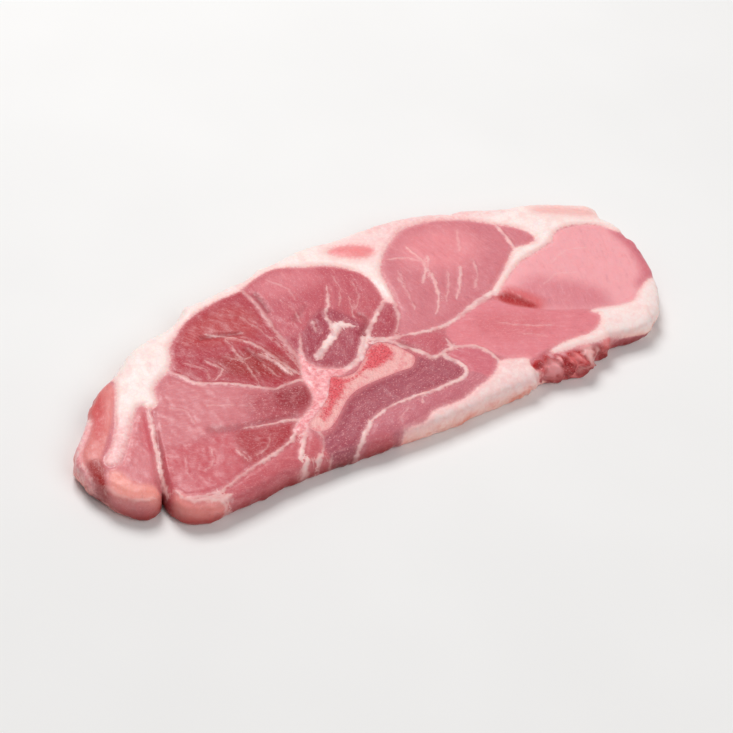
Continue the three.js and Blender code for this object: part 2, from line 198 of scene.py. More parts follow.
MUSCLES: tuple[Muscle, ...] = (
    # Beside the lobe: the long muscle, the dark round one behind it and those along the front
    Muscle(((-90.5, 14.5), (-82.0, 22.5), (-75.5, 19.0), (-66.0, 9.0), (-54.0, 1.0), (-60.0, -6.0),
            (-72.0, -9.0), (-86.0, -8.0), (-99.0, -8.0), (-101.0, 0.0)), (216, 128, 134), 2.6, 160, 0.35),
    Muscle(((-60.0, 0.0), (-53.0, -2.5), (-44.0, -3.8), (-38.4, -6.5), (-39.5, -13.5), (-45.0, -17.5),
            (-54.5, -16.6), (-62.0, -13.0), (-65.0, -7.0)), (187, 90, 98), 5.5, 150, 1.0),
    Muscle(((-52.0, -4.0), (-44.0, -4.8), (-39.5, -7.0), (-40.0, -12.5), (-45.5, -15.5), (-53.0, -13.0)),
            (164, 64, 74), 3.4, 150, 1.0),
    Muscle(((-76.0, 25.5), (-70.0, 36.0), (-64.0, 40.0), (-54.0, 46.5), (-38.5, 48.0), (-29.5, 46.0),
            (-29.3, 36.0), (-31.5, 21.0), (-32.5, 9.5), (-34.5, 0.5), (-38.5, -2.6), (-48.5, -2.4),
            (-56.0, 2.6), (-64.0, 9.0), (-72.5, 16.5)), (186, 73, 84), 0.6, 118, 0.6),
    Muscle(((-66.0, 35.0), (-54.0, 42.0), (-38.0, 41.0), (-33.0, 32.0), (-40.0, 24.0), (-54.0, 26.0)),
            (190, 76, 80), 4.0, 118, 0.5),
    Muscle(((-60.0, 20.0), (-46.0, 18.0), (-38.0, 12.0), (-38.0, 0.0), (-50.0, 4.0), (-60.0, 12.0)),
            (170, 44, 54), 4.2, 112, 0.9),
    Muscle(((-104.5, -7.0), (-86.0, -9.0), (-78.0, -12.0), (-76.0, -20.0), (-84.0, -28.0), (-96.0, -30.0),
            (-107.0, -29.0), (-112.0, -20.0)), (208, 101, 109), 3.0, 140, 0.35),
    Muscle(((-76.0, -13.0), (-62.0, -16.5), (-54.5, -18.6), (-53.0, -22.0), (-60.0, -25.5),
            (-72.0, -28.2), (-81.0, -27.0), (-79.0, -18.0)), (186, 80, 86), 2.4, 150, 0.7),
    Muscle(((-98.0, -32.5), (-84.0, -29.4), (-70.0, -28.8), (-60.0, -26.0), (-53.0, -24.0),
            (-52.0, -32.0), (-56.0, -46.0), (-98.0, -46.0)), (210, 110, 117), 1.0, 160, 0.6),
    # In the middle behind the bone, round the fork of fat
    Muscle(((-27.5, 46.0), (-20.0, 50.0), (-8.0, 49.0), (2.0, 43.5), (12.0, 38.0), (18.5, 28.0),
            (16.5, 16.0), (15.5, 8.0), (6.0, 6.0), (-6.0, 8.0), (-16.0, 16.0), (-26.0, 10.0),
            (-31.0, 16.0), (-28.5, 32.0)), (203, 103, 113), 0.8, 78, 0.8),
    Muscle(((-22.0, 46.0), (-8.0, 46.0), (2.0, 41.0), (0.0, 34.0), (-16.0, 34.0), (-26.0, 38.0)),
            (221, 128, 136), 4.0, 78, 0.6),
    Muscle(((-30.5, 16.0), (-24.0, 14.0), (-24.0, 4.0), (-28.0, 0.0), (-32.0, 3.0), (-31.5, 9.0)),
            (185, 85, 98), 2.0, 70, 1.0),
    Muscle(((-24.0, 14.0), (-16.5, 19.0), (-8.5, 21.0), (-2.5, 14.0), (1.5, 7.5), (-4.5, 0.5),
            (-13.5, -5.5), (-21.5, -7.0), (-27.0, -2.5), (-29.5, 4.0)), (177, 84, 97), 1.6, 60, 1.0),
    Muscle(((-2.0, 22.0), (7.0, 22.0), (13.0, 14.0), (9.0, 9.5), (2.0, 5.5), (-2.0, 12.0)),
            (202, 103, 112), 2.4, 70, 0.8),
    Muscle(((16.5, 11.5), (8.0, 8.5), (0.5, 3.8), (-3.0, 0.0), (0.5, -3.0), (6.0, -2.8), (12.5, 2.0),
            (16.0, 8.0)), (186, 86, 98), 0.7, 40, 1.0),
    # The round muscle, the pale one of the broad end and the one in front of it
    Muscle(((20.0, 12.0), (24.5, 26.0), (29.0, 31.0), (43.0, 40.0), (56.0, 41.5), (75.0, 34.5),
            (92.0, 17.0), (92.5, 7.0), (80.0, 9.6), (70.0, 2.8), (54.0, -5.5), (42.0, -7.4), (30.0, -9.8),
            (20.5, -9.3), (12.0, -7.2), (8.0, -5.0), (14.5, 3.0), (17.5, 9.5)),
            (218, 132, 140), 0.6, 96, 0.4),
    Muscle(((42.0, 34.0), (56.0, 36.0), (70.0, 28.0), (68.0, 16.0), (52.0, 12.0), (40.0, 18.0),
            (36.0, 26.0)), (238, 150, 156), 6.0, 96, 0.4),
    Muscle(((56.0, -6.6), (68.5, -1.6), (77.5, 1.4), (89.0, 2.6), (97.5, 4.6), (103.0, 7.4), (116.5, 5.4),
            (123.5, 0.6), (134.0, -4.0), (132.0, -24.0), (122.0, -35.0), (112.0, -38.0), (102.5, -39.2),
            (96.5, -38.8), (82.0, -33.6), (67.0, -25.5), (58.0, -17.5), (53.5, -10.0)),
            (249, 174, 179), 0.6, 64, 0.3),
    Muscle(((134.0, -4.0), (124.5, -3.0), (122.5, -16.0), (117.0, -28.0), (109.0, -34.0), (112.0, -38.0),
            (124.0, -34.0)), (222, 130, 140), 3.0, 64, 0.3),
    Muscle(((66.0, -23.0), (64.0, -12.0), (74.0, -8.0), (84.0, -16.0), (94.0, -28.0), (92.0, -36.0),
            (82.0, -33.6)), (228, 144, 152), 5.0, 64, 0.4),
    Muscle(((56.0, -6.2), (61.5, -6.6), (66.0, -12.0), (69.0, -21.0), (64.0, -24.0), (57.0, -18.0),
            (52.6, -11.5)), (224, 118, 122), 2.6, 64, 0.3),
    Muscle(((56.0, -8.2), (60.0, -9.6), (62.6, -14.6), (64.6, -21.6), (61.6, -21.6), (57.4, -16.0),
            (54.4, -11.0)), (186, 58, 66), 1.5, 64, 0.2),
    Muscle(((52.0, -9.0), (56.5, -16.0), (66.0, -25.0), (81.0, -33.2), (84.5, -37.5), (80.5, -41.8),
            (72.0, -43.4), (61.0, -42.0), (50.0, -41.5), (43.0, -42.0), (36.0, -37.5), (32.5, -32.0),
            (30.5, -26.0), (23.0, -21.0), (24.0, -13.0), (38.0, -9.0)), (233, 140, 148), 0.7, 150, 0.4),
    Muscle(((40.0, -14.0), (54.0, -20.0), (64.0, -30.0), (54.0, -34.0), (42.0, -28.0), (36.0, -20.0)),
            (225, 128, 135), 5.0, 150, 0.6),
    # In front of the bone, round the dark curved muscle
    Muscle(((22.0, -21.5), (29.0, -25.5), (31.0, -32.0), (29.5, -37.5), (20.5, -40.5), (12.5, -39.5),
            (16.8, -33.5), (18.0, -28.5), (16.5, -23.0)), (218, 122, 133), 0.6, 130, 0.5),
    Muscle(((6.0, -6.0), (13.0, -8.6), (20.5, -11.0), (23.0, -18.0), (17.5, -20.2), (11.0, -20.4),
            (8.0, -14.0)), (206, 110, 120), 0.7, 20, 0.8),
    Muscle(((9.5, -21.0), (15.5, -22.5), (17.0, -28.5), (17.8, -32.0), (14.0, -34.4), (6.5, -33.8),
            (-0.5, -33.0), (-8.0, -32.4), (-21.0, -31.6), (-29.5, -33.0), (-34.0, -36.2), (-40.0, -40.0),
            (-46.5, -44.5), (-52.0, -42.0), (-51.0, -31.5), (-44.0, -30.0), (-37.0, -25.5),
            (-29.5, -21.5), (-21.5, -20.0), (-5.5, -20.6), (1.5, -21.2), (6.0, -18.0)),
            (179, 96, 108), 0.9, 8, 1.2),
    Muscle(((-31.0, -34.0), (-22.5, -32.5), (-10.5, -33.0), (0.5, -34.6), (11.5, -35.4), (17.5, -33.4),
            (22.0, -40.0), (10.0, -43.0), (-15.0, -44.0), (-22.5, -43.5), (-28.0, -50.0), (-40.0, -50.0),
            (-46.5, -44.5), (-39.0, -39.0)), (205, 122, 132), 0.5, 12, 0.8),
    Muscle(((-44.0, -47.0), (-38.0, -41.0), (-28.0, -41.0), (-26.0, -45.0), (-27.0, -50.0)),
            (206, 106, 114), 2.0, 12, 0.8),
    # The torn front edge, and painted highlights: pale patches on the tops of its lumps
    Muscle(CRAG, (196, 56, 62), 0.9, 30, 1.3),
    Muscle(((63.6, -49.0), (66.8, -47.8), (69.6, -49.8), (68.6, -53.6), (64.8, -55.6), (62.8, -52.0)),
            (255, 196, 192), 2.4, 30, 0.8),
    Muscle(((55.4, -49.8), (57.8, -48.2), (60.4, -50.0), (59.2, -54.0), (56.4, -53.4)),
            (246, 142, 142), 1.9, 30),
    Muscle(((46.0, -46.2), (50.4, -45.8), (52.4, -48.8), (48.8, -51.4), (45.4, -49.4)),
            (252, 170, 172), 1.6, 30),
    Muscle(((73.4, -47.6), (78.6, -47.2), (80.6, -50.0), (76.0, -52.6)), (232, 124, 122), 1.6, 30),
    # The front corner, and the skin and the muscle of the lobe
    Muscle(((-109.4, -23.0), (-106.0, -30.0), (-100.0, -32.6), (-97.0, -34.0), (-98.0, -40.0),
            (-109.0, -38.0), (-115.0, -30.0)), (248, 156, 150), 2.4, 30, 0.6),
    Muscle(((-101.0, 37.0), (-98.5, 30.0), (-104.5, 21.0), (-112.0, 12.5), (-120.0, 5.0), (-127.0, -2.0),
            (-134.0, -4.0), (-130.0, 9.0), (-120.5, 20.0), (-111.5, 30.0)),
            (230, 138, 134), 1.0, 60, 0.4),
    Muscle(((-104.0, 30.0), (-108.0, 22.0), (-114.0, 14.0), (-119.0, 10.0), (-116.0, 18.0),
            (-110.0, 27.0)), (218, 98, 98), 2.4, 60, 0.4),
    # A red-brown band painted as shade on the lobe's left rim
    Muscle(((-127.0, 4.0), (-123.0, 1.5), (-125.5, -5.0), (-128.0, -12.0), (-133.0, -13.0),
            (-136.0, -4.0)), (172, 46, 34), 1.6, 60, 0.5),
    Muscle(((-96.0, 16.0), (-96.0, 9.5), (-101.0, 0.5), (-106.0, -9.0), (-112.0, -20.0), (-118.0, -24.0),
            (-127.5, -13.0), (-125.0, -4.0), (-118.0, -2.5), (-111.0, 3.5), (-102.5, 12.0)),
            (221, 133, 138), 0.8, 60, 0.5),
    Muscle(((-97.0, 13.0), (-98.5, 5.0), (-102.5, -3.5), (-107.0, -4.0), (-106.0, 3.0), (-101.0, 10.0)),
            (214, 108, 116), 2.2, 60),
    # A peach band along the lobe's lower front edge: partly a pale edge of fat, partly painted highlight
    Muscle(((-123.0, -4.0), (-127.0, -11.0), (-122.0, -18.5), (-116.5, -22.0), (-112.0, -20.0),
            (-114.5, -16.0), (-119.0, -13.0), (-120.5, -6.0)), (248, 162, 152), 1.8, 60, 0.7),
    # Lean inside the cap of fat
    Muscle(((12.0, 46.0), (18.0, 49.0), (25.5, 46.0), (30.5, 41.5), (31.5, 37.5), (27.0, 34.8),
            (21.0, 35.6), (15.0, 40.0)), (246, 146, 147), 1.0, 0),
    Muscle(((103.0, 24.0), (108.0, 17.0), (115.0, 12.5), (124.0, 7.0), (131.0, 8.0), (127.0, 12.0),
            (118.0, 19.0), (106.0, 26.0)), (252, 204, 196), 1.0, 150),
)

# Lean that shows inside the cap of fat: a small muscle and a thin strip at the corner
LEAN_IN_FAT: tuple[Outline, ...] = (
    ((13.5, 46.5), (18.0, 47.8), (24.5, 45.2), (29.8, 41.0), (30.6, 37.8), (27.0, 35.8), (21.8, 36.8),
     (16.5, 41.0)),
    ((104.5, 22.4), (109.0, 17.6), (115.0, 13.6), (123.0, 8.6), (126.5, 8.4), (126.0, 10.2), (118.0, 17.2),
     (106.5, 23.6)),
)

# Seams between the muscles and the veins of fat that show in them
VEINS: tuple[Vein, ...] = (
    # Round the lobe and in the muscles beside it
    Vein(((-94.0, 15.0), (-96.2, 11.0), (-100.0, 3.4), (-104.8, -6.4), (-108.8, -15.0),
          (-110.4, -20.4)), 0.95, 0.6, 0.8),
    # A pale band along the top of the front corner's rim: partly fascia, partly painted highlight
    Vein(((-108.6, -22.0), (-108.0, -26.5), (-105.6, -29.8), (-101.0, -31.6),
          (-97.0, -32.0)), 0.5, 1.1, 0.55),
    Vein(((-78.0, 26.0), (-75.0, 20.5), (-73.0, 15.5), (-62.5, 8.0), (-56.0, 2.5), (-49.0, -2.5),
          (-42.5, -2.8), (-37.5, -4.0)), 0.9, 0.7, 0.55),
    Vein(((-29.5, 48.0), (-29.0, 40.0), (-30.0, 32.0), (-32.0, 20.0), (-32.6, 11.0), (-34.0, 4.0),
          (-36.0, -3.0)), 0.7, 0.9, 0.36),
    Vein(((-54.5, 34.0), (-47.0, 26.5), (-43.0, 20.0), (-41.0, 13.5), (-40.0, 7.5),
          (-38.0, 0.0)), 0.4, 0.8, 0.45),
    Vein(((-50.0, 28.0), (-51.5, 16.0), (-52.5, 7.5), (-54.0, 2.5)), 0.3, 0.4, 0.4),
    Vein(((-56.0, 20.5), (-51.5, 16.0), (-48.0, 15.5)), 0.3, 0.3, 0.35),
    Vein(((-63.0, 22.5), (-61.0, 16.0), (-65.5, 12.5)), 0.45, 0.4, 0.5),
    Vein(((-70.0, 26.0), (-66.0, 19.0), (-67.0, 15.0)), 0.3, 0.3, 0.3),
    Vein(((-44.0, 14.5), (-41.5, 9.0), (-40.5, 1.5)), 0.4, 0.75, 0.75),
    Vein(((-35.0, 19.0), (-35.0, 9.0), (-35.5, 2.0)), 0.3, 0.4, 0.4),
    Vein(((-46.0, 9.0), (-45.0, 3.0)), 0.4, 0.3, 0.45),
    Vein(((-38.5, 34.0), (-36.5, 26.0), (-36.0, 18.0)), 0.3, 0.3, 0.3),
    Vein(((-71.0, -12.6), (-63.0, -15.6), (-55.0, -17.6), (-50.5, -20.0)), 0.4, 0.8, 0.6),
    Vein(((-54.5, -21.0), (-60.0, -25.5), (-67.0, -27.4), (-73.0, -28.3), (-82.0, -29.2), (-91.0, -30.6),
          (-98.0, -31.4)), 0.8, 0.6, 0.62),
    Vein(((-108.0, -26.5), (-102.5, -29.8), (-98.0, -31.0)), 0.4, 0.8, 0.45),
    Vein(((-100.5, -32.4), (-97.0, -34.4), (-94.5, -34.2)), 1.0, 1.0, 0.7),
    Vein(((-96.0, -31.0), (-97.5, -34.0), (-96.0, -38.0)), 0.6, 0.9, 0.6),
    Vein(((-80.5, -20.0), (-80.0, -24.5)), 0.35, 0.4, 0.5),
    # The pale line along the lobe's lower front edge: partly a pale edge of fat, partly painted highlight
    Vein(((-127.4, -8.0), (-125.2, -14.0), (-121.4, -18.6), (-116.8, -20.4)), 0.7, 0.5, 0.4),
    Vein(((-66.0, -20.0), (-70.0, -24.0), (-76.0, -25.0)), 0.3, 0.3, 0.35),
    Vein(((-88.0, -15.0), (-90.5, -19.5), (-95.0, -21.0)), 0.35, 0.25, 0.28),
    Vein(((-97.0, -12.0), (-101.0, -19.0)), 0.3, 0.2, 0.22),
    Vein(((-88.0, 10.0), (-84.0, 6.0), (-85.0, 0.0)), 0.35, 0.3, 0.3),
    Vein(((-76.0, 4.0), (-70.0, 0.0), (-64.0, -4.0)), 0.3, 0.3, 0.3),
    # From the bone to the front edge
    Vein(((-52.0, -22.5), (-56.5, -27.5), (-62.5, -33.5)), 1.1, 0.9, 0.92),
    Vein(((-52.0, -21.5), (-57.0, -23.5), (-60.5, -25.5)), 0.9, 0.8, 0.75),
    Vein(((-49.0, -26.0), (-50.5, -31.0), (-54.0, -35.5)), 0.7, 0.4, 0.45),
    Vein(((-61.0, -35.4), (-63.6, -37.6), (-66.4, -38.2)), 1.2, 0.8, 0.8),
    Vein(((-55.6, -36.4), (-57.8, -37.6)), 1.1, 0.9, 0.75),
    Vein(((-52.0, -38.5), (-53.4, -39.4)), 0.6, 0.5, 0.55),
    # Round the dark curved muscle in front of the bone
    Vein(((-30.8, -33.8), (-34.8, -36.6), (-40.5, -40.2), (-47.5, -44.6)), 0.9, 0.8, 0.85),
    Vein(((-30.8, -33.8), (-21.7, -31.8), (-16.4, -31.8), (-9.5, -32.6), (-1.5, -34.0), (7.2, -34.8),
          (14.5, -34.6), (17.8, -32.4), (18.0, -29.0), (16.6, -25.0), (15.4, -21.8)), 0.6, 1.0, 0.82),
    Vein(((-4.5, -33.4), (-7.5, -36.4)), 0.4, 0.3, 0.6),
    Vein(((-14.0, -36.0), (-20.0, -38.5), (-21.0, -42.0)), 0.4, 0.4, 0.35),
    Vein(((22.1, -21.2), (17.4, -20.8), (13.1, -21.2), (9.8, -20.4)), 0.8, 0.9, 0.85),
    Vein(((22.1, -21.2), (21.4, -16.0)), 0.6, 0.35, 0.6),
    Vein(((20.5, -19.5), (23.0, -21.5), (29.0, -25.0), (31.5, -30.5), (31.8, -36.0)), 0.8, 0.7, 0.6),
    # Behind the bone and on to the broad end
    Vein(((10.3, -20.6), (8.6, -16.0), (5.8, -11.5), (3.0, -6.8), (1.0, -3.4),
          (-3.0, -1.4)), 1.1, 1.0, 0.72),
    Vein(((4.0, -5.6), (8.3, -6.2), (12.5, -7.6), (20.5, -9.6), (30.0, -10.2), (40.5, -8.0), (51.0, -7.2),
          (56.5, -6.6)), 0.6, 1.2, 0.7),
    Vein(((38.0, -8.6), (46.0, -6.8), (56.0, -6.4)), 0.8, 1.5, 0.9),
    Vein(((56.0, -6.4), (66.5, -1.2), (76.0, 3.4), (86.0, 5.4), (97.0, 6.4)), 1.2, 2.6),
    Vein(((17.6, 14.0), (11.0, 10.5), (6.0, 7.4), (-0.5, 3.2), (-6.5, -2.0),
          (-13.0, -6.6)), 0.8, 1.2, 0.8),
    Vein(((19.8, 19.0), (17.0, 9.5), (13.8, 3.0), (10.0, -1.0), (5.5, -4.4)), 1.0, 0.5, 0.62),
    Vein(((7.0, -4.6), (0.5, -4.2), (-4.0, -3.4)), 0.5, 0.9, 0.72),
    Vein(((-25.0, 15.0), (-29.0, 9.0), (-31.5, 3.5), (-32.0, -3.0)), 0.5, 1.1, 0.6),
    Vein(((-32.0, -2.0), (-27.5, -5.0), (-21.5, -8.0), (-14.5, -7.0), (-9.5, -3.0),
          (-5.0, 1.4)), 1.5, 0.9, 0.75),
    # The fork of fat in the middle and the marbling round it
    Vein(((0.5, 30.5), (-3.0, 25.5), (-6.5, 21.0)), 0.3, 0.8, 0.72),
    Vein(((-6.5, 21.0), (-10.0, 18.6), (-11.8, 13.0), (-14.5, 8.0)), 0.7, 0.7, 0.7),
    Vein(((-8.0, 11.4), (-13.0, 8.6), (-17.5, 6.6), (-22.0, 4.4), (-25.5, 2.6)), 1.7, 1.6, 0.95),
    Vein(((-11.0, 11.6), (-8.0, 10.6), (-4.6, 8.4)), 1.9, 0.8, 0.85),
    Vein(((-17.0, 17.5), (-18.5, 13.5)), 0.6, 0.4, 0.6),
    Vein(((-20.0, 33.0), (-19.0, 26.0), (-21.0, 20.0)), 0.3, 0.3, 0.3),
    Vein(((4.0, 21.0), (1.0, 16.0), (-1.0, 12.0)), 0.35, 0.3, 0.4),
    # Marbling of the round muscle and of the broad end
    Vein(((42.5, 31.5), (42.5, 22.0), (39.5, 16.5), (35.0, 13.0)), 0.5, 0.6, 0.55),
    Vein(((32.0, 30.0), (38.0, 27.0), (42.5, 22.0)), 0.6, 0.5, 0.4),
    Vein(((46.0, 23.0), (40.5, 16.0)), 0.5, 0.35, 0.45),
    Vein(((40.5, 14.0), (38.0, 8.5), (32.0, 0.0), (28.0, -3.0)), 0.8, 0.5, 0.62),
    Vein(((53.0, 11.0), (49.0, 6.5), (41.0, -1.0)), 0.8, 0.5, 0.62),
    Vein(((47.0, 12.0), (42.0, 5.5), (36.0, 0.0)), 0.4, 0.4, 0.4),
    Vein(((61.0, 12.0), (56.5, 5.0), (51.0, 0.0)), 0.5, 0.35, 0.4),
    Vein(((27.5, 19.0), (25.0, 10.0), (22.0, 3.0)), 0.4, 0.4, 0.35),
    Vein(((68.0, 29.5), (60.5, 20.0)), 0.5, 0.4, 0.3),
    Vein(((84.5, 26.0), (83.0, 16.5), (81.0, 9.0)), 0.6, 0.9, 0.6),
    Vein(((30.0, 22.0), (27.0, 14.0)), 0.3, 0.25, 0.35),
    Vein(((62.0, -32.0), (53.0, -27.0), (46.0, -20.0)), 0.35, 0.3, 0.35),
    Vein(((56.0, -36.0), (50.0, -30.0)), 0.35, 0.3, 0.3),
    Vein(((76.0, -14.0), (84.0, -12.0), (92.0, -15.0)), 0.4, 0.3, 0.3),
    Vein(((88.0, -6.0), (97.0, -3.0), (107.0, -6.0)), 0.4, 0.3, 0.28),
    # Fine marbling behind the fork
    Vein(((-17.5, 45.0), (-14.0, 38.0), (-15.0, 31.0)), 0.3, 0.3, 0.3),
    Vein(((6.0, 34.0), (4.0, 27.0), (-2.0, 20.0)), 0.3, 0.3, 0.35),
    Vein(((11.0, 28.0), (8.0, 20.0), (2.0, 15.0)), 0.3, 0.3, 0.35),
)

# Bloodstained lines, and painted shade in splits and crevices of the lean: points along each, half width at
# its start and end, strength
DARK_LINES: tuple[Vein, ...] = (
    Vein(((-57.0, 33.5), (-51.0, 31.0), (-44.0, 27.5)), 0.9, 0.5, 0.55),
    Vein(((-26.5, 41.0), (-27.0, 36.0), (-28.0, 31.0)), 1.0, 0.5, 0.6),
    Vein(((-82.0, -6.5), (-77.0, -9.6), (-70.0, -12.0), (-58.5, -14.6), (-52.0, -16.6)), 1.6, 0.6, 0.32),
    Vein(((-99.0, 3.0), (-104.0, -6.0), (-109.0, -15.0), (-112.2, -20.6)), 0.3, 0.9, 0.5),
    Vein(((4.8, -9.0), (8.6, -15.4)), 1.1, 0.8, 0.5),
    Vein(((57.4, -9.4), (61.0, -14.0), (62.6, -19.4)), 1.2, 0.8, 0.22),
    Vein(((41.5, -46.0), (47.0, -45.6), (54.0, -48.4), (64.0, -49.4), (74.0, -51.0)), 0.6, 0.5, 0.35),
    Vein(((52.0, -46.8), (53.4, -50.0), (53.8, -54.5)), 0.5, 1.0, 0.6),
    Vein(((61.2, -48.0), (61.6, -51.0), (62.2, -56.0)), 0.4, 0.7, 0.5),
    Vein(((69.5, -49.0), (71.5, -52.0)), 0.8, 1.0, 0.5),
    Vein(((103.4, -46.8), (101.6, -53.0)), 0.5, 1.3, 0.6),
    Vein(((-47.0, 20.0), (-46.0, 12.0)), 0.6, 0.4, 0.35),
    Vein(((-22.0, 22.0), (-14.0, 26.0)), 0.9, 0.5, 0.3),
    Vein(((-4.0, 3.0), (2.0, 8.0), (1.0, 12.0)), 1.4, 0.9, 0.4),
)

# Rounded lumps, and hollows between them, where the front edge was torn: place, height, radius and rise
LUMPS: tuple[tuple[float, ...], ...] = (
    (44.8, -48.0, 3.6, 2.6, 0.7), (49.0, -48.8, 8.0, 2.4, 0.8), (53.4, -50.4, 6.0, 2.0, -1.3),
    (56.8, -50.6, 8.8, 2.0, 0.7), (60.2, -53.2, 4.0, 2.8, 0.8), (61.8, -51.6, 9.2, 1.6, -1.0),
    (66.6, -52.0, 7.6, 2.8, 0.9), (64.0, -52.6, 3.6, 1.8, -0.9), (69.6, -50.8, 3.4, 2.2, 0.7),
    (71.4, -50.5, 8.2, 1.9, -1.2), (75.4, -49.2, 7.4, 2.4, 0.8), (79.0, -49.8, 5.0, 1.6, -0.8),
    (82.0, -48.4, 6.2, 2.2, 0.7), (56.8, -53.2, 6.2, 1.3, -0.8), (67.6, -54.4, 4.8, 1.5, -0.9),
    (76.8, -50.8, 5.4, 1.2, -0.6),
    (101.8, -50.5, 7.5, 1.9, -1.3), (107.0, -46.5, 5.5, 3.4, 0.7), (-118.0, -18.0, 4.0, 5.0, 0.7),
    (-104.0, -30.5, 5.0, 5.0, 0.6), (36.0, -46.5, 2.5, 3.0, 0.6), (22.0, -45.8, 2.0, 2.6, 0.5),
    (90.0, -48.0, 2.6, 3.0, 0.6), (-64.5, -36.0, 3.2, 2.4, 0.6), (-56.0, -36.8, 6.8, 2.0, 0.5),
    (46.5, -48.0, 1.8, 2.0, -0.7), (51.5, -49.6, 2.2, 2.2, 0.6), (56.8, -51.4, 8.6, 1.6, 0.5),
    (68.4, -51.6, 5.6, 1.4, -0.5), (74.2, -50.4, 3.2, 1.6, 0.5), (64.6, -53.8, 9.2, 1.3, 0.4),
    (78.6, -49.8, 8.0, 1.4, 0.4), (84.5, -48.6, 2.0, 1.8, -0.6), (48.0, -50.0, 8.8, 1.3, 0.4),
    (-51.5, 49.5, 8.5, 2.8, 0.8), (-96.5, -33.0, 7.5, 3.0, 0.7),
)

# Slow waves of the relaxed meat: rise, span along X, span along Y, start
WAVES: tuple[tuple[float, float, float, float], ...] = ((0.3, 23.0, 30.0, 0.6), (0.25, 11.0, -14.0, 0.0))

# Bulges of the muscles: place, half length, half width, turn in degrees, height
SWELLS: tuple[tuple[float, ...], ...] = (
    (-70.0, 8.0, 30.0, 16.0, 34.0, 0.8), (-78.0, -18.0, 26.0, 12.0, -6.0, 0.6),
    (-14.0, 24.0, 17.0, 20.0, 0.0, 0.9), (-17.0, 3.0, 12.0, 7.0, 20.0, -0.5),
    (52.0, 14.0, 34.0, 12.0, -28.0, 0.7), (88.0, -16.0, 30.0, 15.0, -22.0, 1.0),
    (-10.0, -27.0, 30.0, 5.0, 8.0, -0.4), (-84.0, 34.0, 9.0, 7.0, 10.0, 0.7),
    (20.0, 41.0, 9.0, 5.0, -10.0, 0.6), (-120.0, 6.0, 8.0, 12.0, -30.0, 0.5),
    (65.0, -50.0, 7.0, 4.0, 0.0, 0.5), (78.0, -48.0, 5.0, 3.5, 0.0, 0.5),
    (102.0, -45.0, 9.0, 5.0, 30.0, 0.6),
)

# The furrow between the lobe and the rest, and its depth at its back end and at the notch
FURROW = Vein(((-96.5, 11.0), (-101.2, 1.4), (-106.2, -8.4), (-110.2, -16.4), (-113.0, -24.0)), 0.2, 0.8)
FURROW_DEPTH = (0.4, 3.2)


def smooth_path(points: Outline, step: float, closed: bool = False) -> np.ndarray:
    """Draw a centripetal Catmull-Rom curve through given points, at even steps.

    Each span is blended three times between its four nearest points, with knots set apart by the square
    root of the distance between them, so that the curve never loops at a close pair.

    Args:
        points: the points that the curve passes through.
        step: the distance between the points that are returned.
        closed: whether the last point runs on to the first.

    Returns:
        An array of places, one row for each.
    """
    knots = np.asarray(points, float)
    if closed:
        chain = np.vstack([knots[-1:], knots, knots[:2]])
    else:
        chain = np.vstack([2 * knots[0] - knots[1], knots, 2 * knots[-1] - knots[-2]])
    spans = [chain[i:len(chain) - 3 + i] for i in range(4)]
    gaps = [np.sqrt(np.linalg.norm(spans[i + 1] - spans[i], axis=1)) for i in range(3)]
    marks = [np.zeros_like(gaps[0]), gaps[0], gaps[0] + gaps[1], gaps[0] + gaps[1] + gaps[2]]
    share = np.linspace(0.0, 1.0, 16, endpoint=False)
    place = marks[1][:, None] + share * (marks[2] - marks[1])[:, None]

    def blend(first: np.ndarray, second: np.ndarray, low: np.ndarray, high: np.ndarray) -> np.ndarray:
        """Pass from the first curve to the second as the place runs from the low mark to the high one."""
        weight = ((place - low[:, None]) / (high - low)[:, None])[..., None]
        return first * (1 - weight) + second * weight

    lines = [np.repeat(span[:, None, :], len(share), axis=1) for span in spans]
    first = [blend(lines[i], lines[i + 1], marks[i], marks[i + 1]) for i in range(3)]
    second = [blend(first[i], first[i + 1], marks[i], marks[i + 2]) for i in range(2)]
    dense = blend(second[0], second[1], marks[1], marks[2]).reshape(-1, 2)
    dense = np.vstack([dense, knots[:1] if closed else knots[-1:]])
    along = np.concatenate([[0.0], np.cumsum(np.linalg.norm(np.diff(dense, axis=0), axis=1))])
    count = max(int(round(along[-1] / step)), 2)
    even = np.linspace(0.0, along[-1], count + 1)
    path = np.stack([np.interp(even, along, dense[:, axis]) for axis in (0, 1)], axis=1)
    return path[:-1] if closed else path


@dataclass
class Band:
    """What each spot of the slice reads from the line that it lies deepest in or nearest to.

    Attributes:
        depth: the line's half width there less the distance to it, negative outside.
        across: the distance to the line, positive on its left and negative on its right.
        half: the line's half width there.
        strength: the line's own strength.
    """

    depth: np.ndarray
    across: np.ndarray
    half: np.ndarray
    strength: np.ndarray


